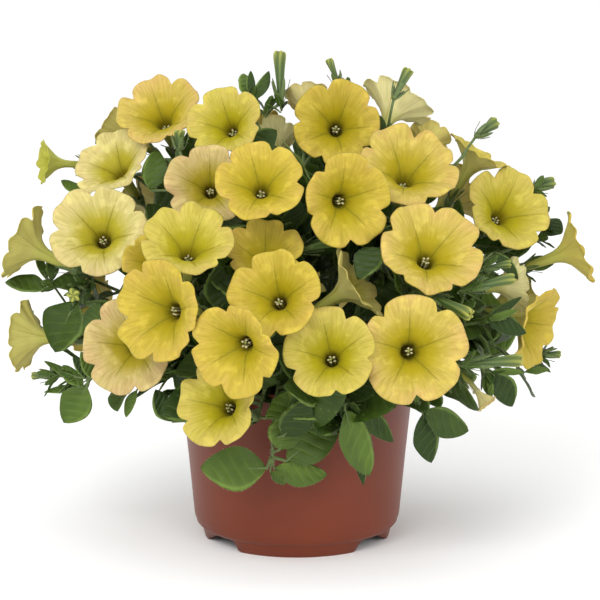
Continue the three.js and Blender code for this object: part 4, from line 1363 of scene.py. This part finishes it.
def petal_front(colour):
    inner, outer, blush, strength, _ = PETAL_COLOURS[colour]
    shade = Shading(f"petal {colour}", 0.62)
    u, out = shade.sheet()
    throat = ((0.0, (72, 62, 8)), (0.12, (98, 86, 8)), (0.17, (120, 108, 9)), (0.25, scaled(inner, 0.95)))
    base = shade.ramp(out, (*throat, (0.4, inner), (0.72, outer), (1.0, outer)))
    # Painted shade deep in the throat: the bloom's tint sets how dark the inside of the tube is made
    painted_throat_shade = shade.times(shade.tint(), shade.step(out, 0.12, 0.22, 1.0, 0.0))
    base = shade.mix(painted_throat_shade, base, linear((40, 31, 5)))
    patches = shade.noise(shade.place(), 75, 2)
    rim = shade.step(out, 0.55, 1.02)
    amount = shade.times(shade.times(rim, shade.step(patches, 0.3, 0.7)), strength)
    base = shade.mix(amount, base, linear(blush))
    streaks = petal_streaks(shade, u, out)
    crumple = shade.noise(shade.place(), 160, 2)
    deeper = linear(scaled(inner, 0.86))
    base = shade.mix(shade.step(streaks, 0.35, 0.75, 0.0, 0.45), base, deeper)
    # Painted highlight: the petals are made paler on the crumples' raised parts, the same noise that makes
    # their bump
    pale = linear(scaled(outer, 1.12, 6))
    painted_highlight_share = shade.times(shade.step(crumple, 0.5, 0.72, 0.0, 0.45), shade.step(out, 0.3, 0.6))
    base = shade.mix(painted_highlight_share, base, pale)
    main, branches, star = petal_lines(shade, u, out)
    base = shade.mix(shade.times(star, 0.5), base, linear((138, 130, 8)))
    vein = linear((112, 102, 10))
    base = shade.mix(shade.times(branches, 0.13), base, vein)
    base = shade.mix(shade.times(main, 0.62), base, vein)
    relief = shade.less(streaks, shade.times(shade.plus(main, branches), 0.5))
    relief = shade.plus(shade.times(relief, 0.25), shade.times(crumple, 1.5))
    return petal_finish(shade, base, relief, 0.5, 0.8, 0.04, (255, 236, 140))


def petal_back(colour):
    *_, back = PETAL_COLOURS[colour]
    shade = Shading(f"petal back {colour}", 0.68)
    u, out = shade.sheet()
    tube = (152, 154, 70)
    # The back colour holds painted light as well as its own colour, for the light that shines through the
    # petals
    base = shade.ramp(out, ((0.0, (110, 124, 50)), (0.12, tube), (0.35, back), (1.0, back)))
    main, branches, _ = petal_lines(shade, u, out)
    streaks = petal_streaks(shade, u, out)
    base = shade.mix(shade.step(streaks, 0.35, 0.75, 0.0, 0.25), base, linear((160, 150, 66)))
    veins = shade.times(shade.plus(main, shade.times(branches, 0.5)), 0.45)
    base = shade.mix(veins, base, linear((132, 124, 48)))
    return petal_finish(shade, base, shade.plus(streaks, main), 0.3, 0.3, 0.06, (250, 240, 170))


def plain_shade(name, rgb, roughness):
    """A finish with small mottling of its own colour."""
    shade = Shading(name, roughness)
    mottle = shade.noise(shade.place(), 900, 3)
    darker = linear(scaled(rgb, 0.8))
    shade.colour(shade.mix(shade.step(mottle, 0.35, 0.7), linear(rgb), darker))
    shade.bump(mottle, 0.2, 0.2 * MM)
    return shade


def leaf_face(name, light, dark, rib, sheen):
    """A blade's side: darker and lighter leaves, painted shade towards the edges, a pale rib and side veins,
    fine hairs' sheen.
    """
    shade = Shading(name, 0.5)
    across, t = shade.sheet()
    edge = shade.math("ABSOLUTE", across)
    patches = shade.noise(shade.place(), 140, 3)
    tone = shade.plus(shade.times(shade.tint(), 0.75), shade.times(patches, 0.3))
    base = shade.mix(shade.step(tone, 0.1, 0.95), linear(dark), linear(light))
    wave = shade.times(shade.less(t, shade.times(edge, 0.36)), 5.5)
    gap = shade.math("ABSOLUTE", shade.less(shade.math("FRACT", wave), 0.5))
    fade = shade.step(edge, 0.6, 1.0, 1.0, 0.0)
    side_veins = shade.times(shade.step(gap, 0.0, 0.16, 1.0, 0.0), fade)
    pillow = shade.times(shade.step(gap, 0.0, 0.5), fade)
    middle = shade.step(edge, 0.03, 0.16, 1.0, 0.0)
    # Painted shade: each blade darkens from its rib towards its edges, for the curve of the blade
    base = shade.mix(shade.step(edge, 0.15, 1.0, 0.0, 0.4), base, linear(dark))
    base = shade.mix(shade.times(pillow, 0.16), base, linear(dark))
    base = shade.mix(shade.times(side_veins, 0.1), base, linear(rib))
    base = shade.mix(shade.times(middle, 0.6), base, linear(rib))
    shade.colour(base)
    pores = shade.noise(shade.place(), 1600, 2)
    relief = shade.less(shade.times(pores, 0.15), shade.math("MAXIMUM", side_veins, middle))
    relief = shade.plus(relief, pillow)
    shade.bump(relief, 0.5, 0.5 * MM)
    shade.velvet(sheen, (205, 222, 150))
    shade.gloss(0.22)
    shade.glow_through(0.08, (0.6, 1.0, 0.2))
    return shade.material


def stem_materials():
    settings = bpy.context.scene.petunia_leaves
    light, dark = [[255 * part for part in tone] for tone in (settings.light_tone, settings.dark_tone)]
    blade = leaf_face("leaf blade", light, dark, (122, 146, 68), 0.03)
    under = leaf_face("leaf underside", (98, 122, 50), (62, 86, 32), (118, 138, 72), 0.04)
    stem = plain_shade("green stem", (88, 108, 50), 0.55)
    stem.velvet(0.12, (230, 236, 200))
    hair = plain_shade("pale hair", (180, 188, 156), 0.6)
    bud = Shading("bud stripes", 0.55)
    u, v = bud.sheet()
    stripe = bud.step(bud.math("COSINE", bud.times(u, 10 * math.pi)), -0.6, 0.9)
    low = bud.mix(stripe, linear((56, 80, 30)), linear((80, 100, 40)))
    high = bud.mix(stripe, linear((98, 110, 32)), linear((160, 160, 62)))
    bud.colour(bud.mix(bud.step(v, 0.42, 0.95), low, high))
    bud.bump(bud.noise(bud.place(), 700, 3), 0.25, 0.2 * MM)
    bud.velvet(0.06, (235, 240, 190))
    return [blade, under, stem.material, hair.material, bud.material]


def pot_material():
    settings = bpy.context.scene.petunia_pot
    shade = Shading("terracotta plastic", 0.42)
    rgb = tuple(255 * part for part in settings.tone)
    clouds = shade.noise(shade.place(), 28, 4)
    pale = linear(tuple(min(255, 1.12 * part) for part in rgb))
    shade.colour(shade.mix(shade.step(clouds, 0.3, 0.75, 0.0, 0.5), linear(rgb), pale))
    grain = shade.noise(shade.place(), 1500, 3)
    shade.bump(grain, 0.12, 0.1 * MM)
    shade.gloss(0.3)
    return shade.material


def soil_material():
    shade = Shading("potting soil", 0.95)
    rough = shade.noise(shade.place(), 420, 6)
    shade.colour(shade.ramp(rough, ((0.3, (20, 13, 9)), (0.5, (44, 31, 22)), (0.68, (84, 63, 46)))))
    shade.bump(rough, 0.8, 1.2 * MM)
    return shade.material


# Settings


class PotSettings(bpy.types.PropertyGroup):
    """The pot and its soil."""

    tone: FloatVectorProperty(
        name="Plastic", description="Colour of the pot as the eye sees it",
        subtype="COLOR_GAMMA", size=3, min=0, max=1, default=(0.41, 0.176, 0.092),
    )
    sides: IntProperty(name="Sides", description="How finely the pot is turned", default=168, min=24)
    crumbs: IntProperty(name="Crumbs", description="Loose crumbs on the soil", default=700, min=0)


class LeafSettings(bpy.types.PropertyGroup):
    """The leaves and their hairs."""

    light_tone: FloatVectorProperty(
        name="Light leaf", description="Colour of the lightest leaves as the eye sees it",
        subtype="COLOR_GAMMA", size=3, min=0, max=1, default=(0.35, 0.445, 0.15),
    )
    dark_tone: FloatVectorProperty(
        name="Dark leaf", description="Colour of the darkest leaves as the eye sees it",
        subtype="COLOR_GAMMA", size=3, min=0, max=1, default=(0.13, 0.21, 0.04),
    )
    hairs: IntProperty(name="Edge hairs", description="Hairs on the edge of a large leaf", default=40, min=0)


class BloomSettings(bpy.types.PropertyGroup):
    """The blooms."""

    columns: IntProperty(name="Columns", description="How finely a bloom is rolled", default=100, min=20)


class StageSettings(bpy.types.PropertyGroup):
    """The floor, the lights and the camera."""

    floor_tone: FloatProperty(name="Floor", description="How pale the floor is", default=0.95, min=0, max=1)
    sky: FloatProperty(name="Soft light", description="Strength of the light all round", default=1.04, min=0)
    key_power: FloatProperty(
        name="Main lamp", description="Power of the main lamp", subtype="POWER", unit="POWER",
        default=26, min=0,
    )
    fill_power: FloatProperty(
        name="Side lamp", description="Power of the lamp on the other side", subtype="POWER", unit="POWER",
        default=9, min=0,
    )


_layout = None


def layout():
    global _layout
    if _layout is None:
        _layout = Layout()
    return _layout


# Operators


class PETUNIA_OT_pot(bpy.types.Operator):
    """Turns the plastic nursery pot"""

    bl_idname = "petunia.pot"
    bl_label = "Pot"

    def execute(self, context):
        bm = bmesh.new()
        add_pot(bm, context.scene.petunia_pot.sides)
        bm.transform(INTO_FRAME)
        pot = finished(bm, "nursery_pot", [pot_material()], "pot", "pot")
        holes = bmesh.new()
        for azimuth in DRAIN_AZIMUTHS:
            turn = Matrix.Rotation(math.radians(azimuth), 4, "Z")
            place = INTO_FRAME @ turn @ Matrix.Translation((0, -DRAIN_RING_RADIUS, 7.5))
            bmesh.ops.create_cone(
                holes, cap_ends=True, segments=32, radius1=DRAIN_RADIUS, radius2=DRAIN_RADIUS, depth=6,
                matrix=place,
            )
        cutter = linked(holes, "drain_holes", [])
        cut = pot.modifiers.new("drain holes", "BOOLEAN")
        cut.operation = "DIFFERENCE"
        cut.solver = "EXACT"
        cut.object = cutter
        whole = bpy.data.meshes.new_from_object(pot.evaluated_get(context.evaluated_depsgraph_get()))
        pot.modifiers.clear()
        pot.data = whole
        bpy.data.objects.remove(cutter)
        return {"FINISHED"}


class PETUNIA_OT_soil(bpy.types.Operator):
    """Fills the pot with crumbly soil"""

    bl_idname = "petunia.soil"
    bl_label = "Soil"

    def execute(self, context):
        draw = random_draws(5)
        soil = Gathering("soil_bed", [soil_material()])
        soil.add(add_soil, 0)
        for _ in range(context.scene.petunia_pot.crumbs // 20):
            soil.add(lambda bm: [add_crumb(bm, draw) for _ in range(20)], 0)
        soil.finish("soil", "soil")
        return {"FINISHED"}


class PETUNIA_OT_stems(bpy.types.Operator):
    """Grows the leafy stems: trunks, shoots, calyxes, buds and leaves"""

    bl_idname = "petunia.stems"
    bl_label = "Leafy stems"

    def execute(self, context):
        plan = layout()
        materials = stem_materials()
        for stem, line in enumerate(plan.lines):
            draw = random_draws(500 + stem)
            green = Gathering(f"fine_stem_{stem + 1}", materials)
            green.add(lambda bm: add_trunk(bm, line), 0.4)
            for pieces, make, tint_share in (
                (plan.shoots, add_shoot, 1),
                (plan.blooms, add_calyx, 1),
                (plan.buds, add_bud, 1),
                (plan.leaves, add_large_leaf, 1),
                (plan.bracts, add_bract, 0.5),
                (plan.fillers, add_small_leaf, 0.6),
            ):
                for piece in pieces:
                    if piece.stem == stem:
                        green.add(lambda bm: make(bm, piece, draw), tint_share * draw())
            green.finish("leaf", f"leafy_stem_{stem + 1}")
        return {"FINISHED"}


class PETUNIA_OT_blooms(bpy.types.Operator):
    """Opens the blooms, each a funnel of five fused petals with its anthers"""

    bl_idname = "petunia.blooms"
    bl_label = "Blooms"

    def execute(self, context):
        columns = context.scene.petunia_blooms.columns
        anther = plain_shade("pale anther", (190, 182, 138), 0.6).material
        stigma = plain_shade("green stigma", (130, 138, 60), 0.4).material
        faces = {colour: petal_front(colour) for colour in PETAL_COLOURS}
        backs = {colour: petal_back(colour) for colour in PETAL_COLOURS}
        for bloom in layout().blooms:
            draw = random_draws(300 + bloom.number)
            materials = [faces[bloom.colour], backs[bloom.colour], anther, stigma]
            open_bloom = Gathering(f"fine_bloom_{bloom.number:02d}", materials)
            oblique = bloom.number in OBLIQUE_BLOOMS
            # The corolla's tint sets how much painted shade darkens its throat: little on the oblique blooms
            open_bloom.add(lambda bm: add_corolla(bm, bloom, columns, draw), 0.15 if oblique else 0.85)
            open_bloom.add(lambda bm: add_anthers(bm, bloom, 17.5 if oblique else 21, draw), 0.5)
            open_bloom.finish(f"petal_{bloom.colour}", f"bloom_{bloom.number:02d}")
        return {"FINISHED"}


def add_lamp(name, place, aim, size, power):
    lamp = bpy.data.lights.new(name, "AREA")
    lamp.shape = "DISK"
    lamp.size = size
    lamp.energy = power
    holder = bpy.data.objects.new(name, lamp)
    holder.location = place
    holder.rotation_euler = (Vector(place) - Vector(aim)).to_track_quat("Z", "Y").to_euler()
    bpy.context.scene.collection.objects.link(holder)


class PETUNIA_OT_stage(bpy.types.Operator):
    """Sets the floor, the soft lights and the camera"""

    bl_idname = "petunia.stage"
    bl_label = "Stage"

    def execute(self, context):
        settings = context.scene.petunia_stage
        context.scene.view_settings.view_transform = "Standard"
        bm = bmesh.new()
        bmesh.ops.create_circle(bm, cap_ends=True, segments=64, radius=30)
        shade = Shading("pale floor", 0.9)
        shade.surface.inputs["Base Color"].default_value = (*[settings.floor_tone] * 3, 1)
        shade.gloss(0.1)
        floor = linked(bm, "floor", [shade.material])
        world = bpy.data.worlds.new("soft white room")
        world.use_nodes = True
        sky = world.node_tree.nodes["Background"]
        sky.inputs["Color"].default_value = (1, 1, 1, 1)
        sky.inputs["Strength"].default_value = settings.sky
        context.scene.world = world
        add_lamp("main lamp", (-0.7, -1.7, 1.4), (0, 0, 0.12), 1.2, settings.key_power)
        add_lamp("side lamp", (1.2, -1.6, 0.7), (0, 0, 0.12), 1.2, settings.fill_power)
        camera = bpy.data.cameras.new("camera")
        camera.sensor_width = 36
        camera.lens = 18 * VIEW_DISTANCE / VIEW_HALF_WIDTH
        camera.clip_end = 100
        holder = bpy.data.objects.new("camera", camera)
        turn = Matrix((VIEW_RIGHT, VIEW_UP, VIEW_TOWARD)).transposed().to_4x4()
        spot = INTO_FRAME @ blend(VIEW_CENTRE_U, VIEW_CENTRE_V, VIEW_DISTANCE)
        holder.matrix_world = Matrix.Translation(spot) @ turn
        context.scene.collection.objects.link(holder)
        context.scene.camera = holder
        return {"FINISHED"}


class PETUNIA_PT_panel(bpy.types.Panel):
    """Lists the pieces and their settings"""

    bl_idname = "PETUNIA_PT_panel"
    bl_label = "Potted Petunia"
    bl_space_type = "VIEW_3D"
    bl_region_type = "UI"
    bl_category = "Petunia"

    def draw(self, context):
        for operator, group in STEPS:
            box = self.layout.box()
            box.operator(operator.bl_idname)
            settings = getattr(context.scene, group)
            for name in settings.bl_rna.properties.keys():
                if name not in ("rna_type", "name"):
                    box.prop(settings, name)


STEPS = (
    (PETUNIA_OT_stage, "petunia_stage"),
    (PETUNIA_OT_pot, "petunia_pot"),
    (PETUNIA_OT_soil, "petunia_pot"),
    (PETUNIA_OT_stems, "petunia_leaves"),
    (PETUNIA_OT_blooms, "petunia_blooms"),
)
GROUPS = {
    "petunia_pot": PotSettings,
    "petunia_leaves": LeafSettings,
    "petunia_blooms": BloomSettings,
    "petunia_stage": StageSettings,
}
CLASSES = (*GROUPS.values(), *(operator for operator, _ in STEPS), PETUNIA_PT_panel)


def register():
    for made in CLASSES:
        bpy.utils.register_class(made)
    for name, group in GROUPS.items():
        setattr(bpy.types.Scene, name, PointerProperty(type=group))


def unregister():
    for name in GROUPS:
        delattr(bpy.types.Scene, name)
    for made in reversed(CLASSES):
        bpy.utils.unregister_class(made)


def main():
    register()
    bpy.ops.petunia.stage()
    bpy.ops.petunia.pot()
    bpy.ops.petunia.soil()
    bpy.ops.petunia.stems()
    bpy.ops.petunia.blooms()
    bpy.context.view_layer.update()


if __name__ == "__main__":
    main()
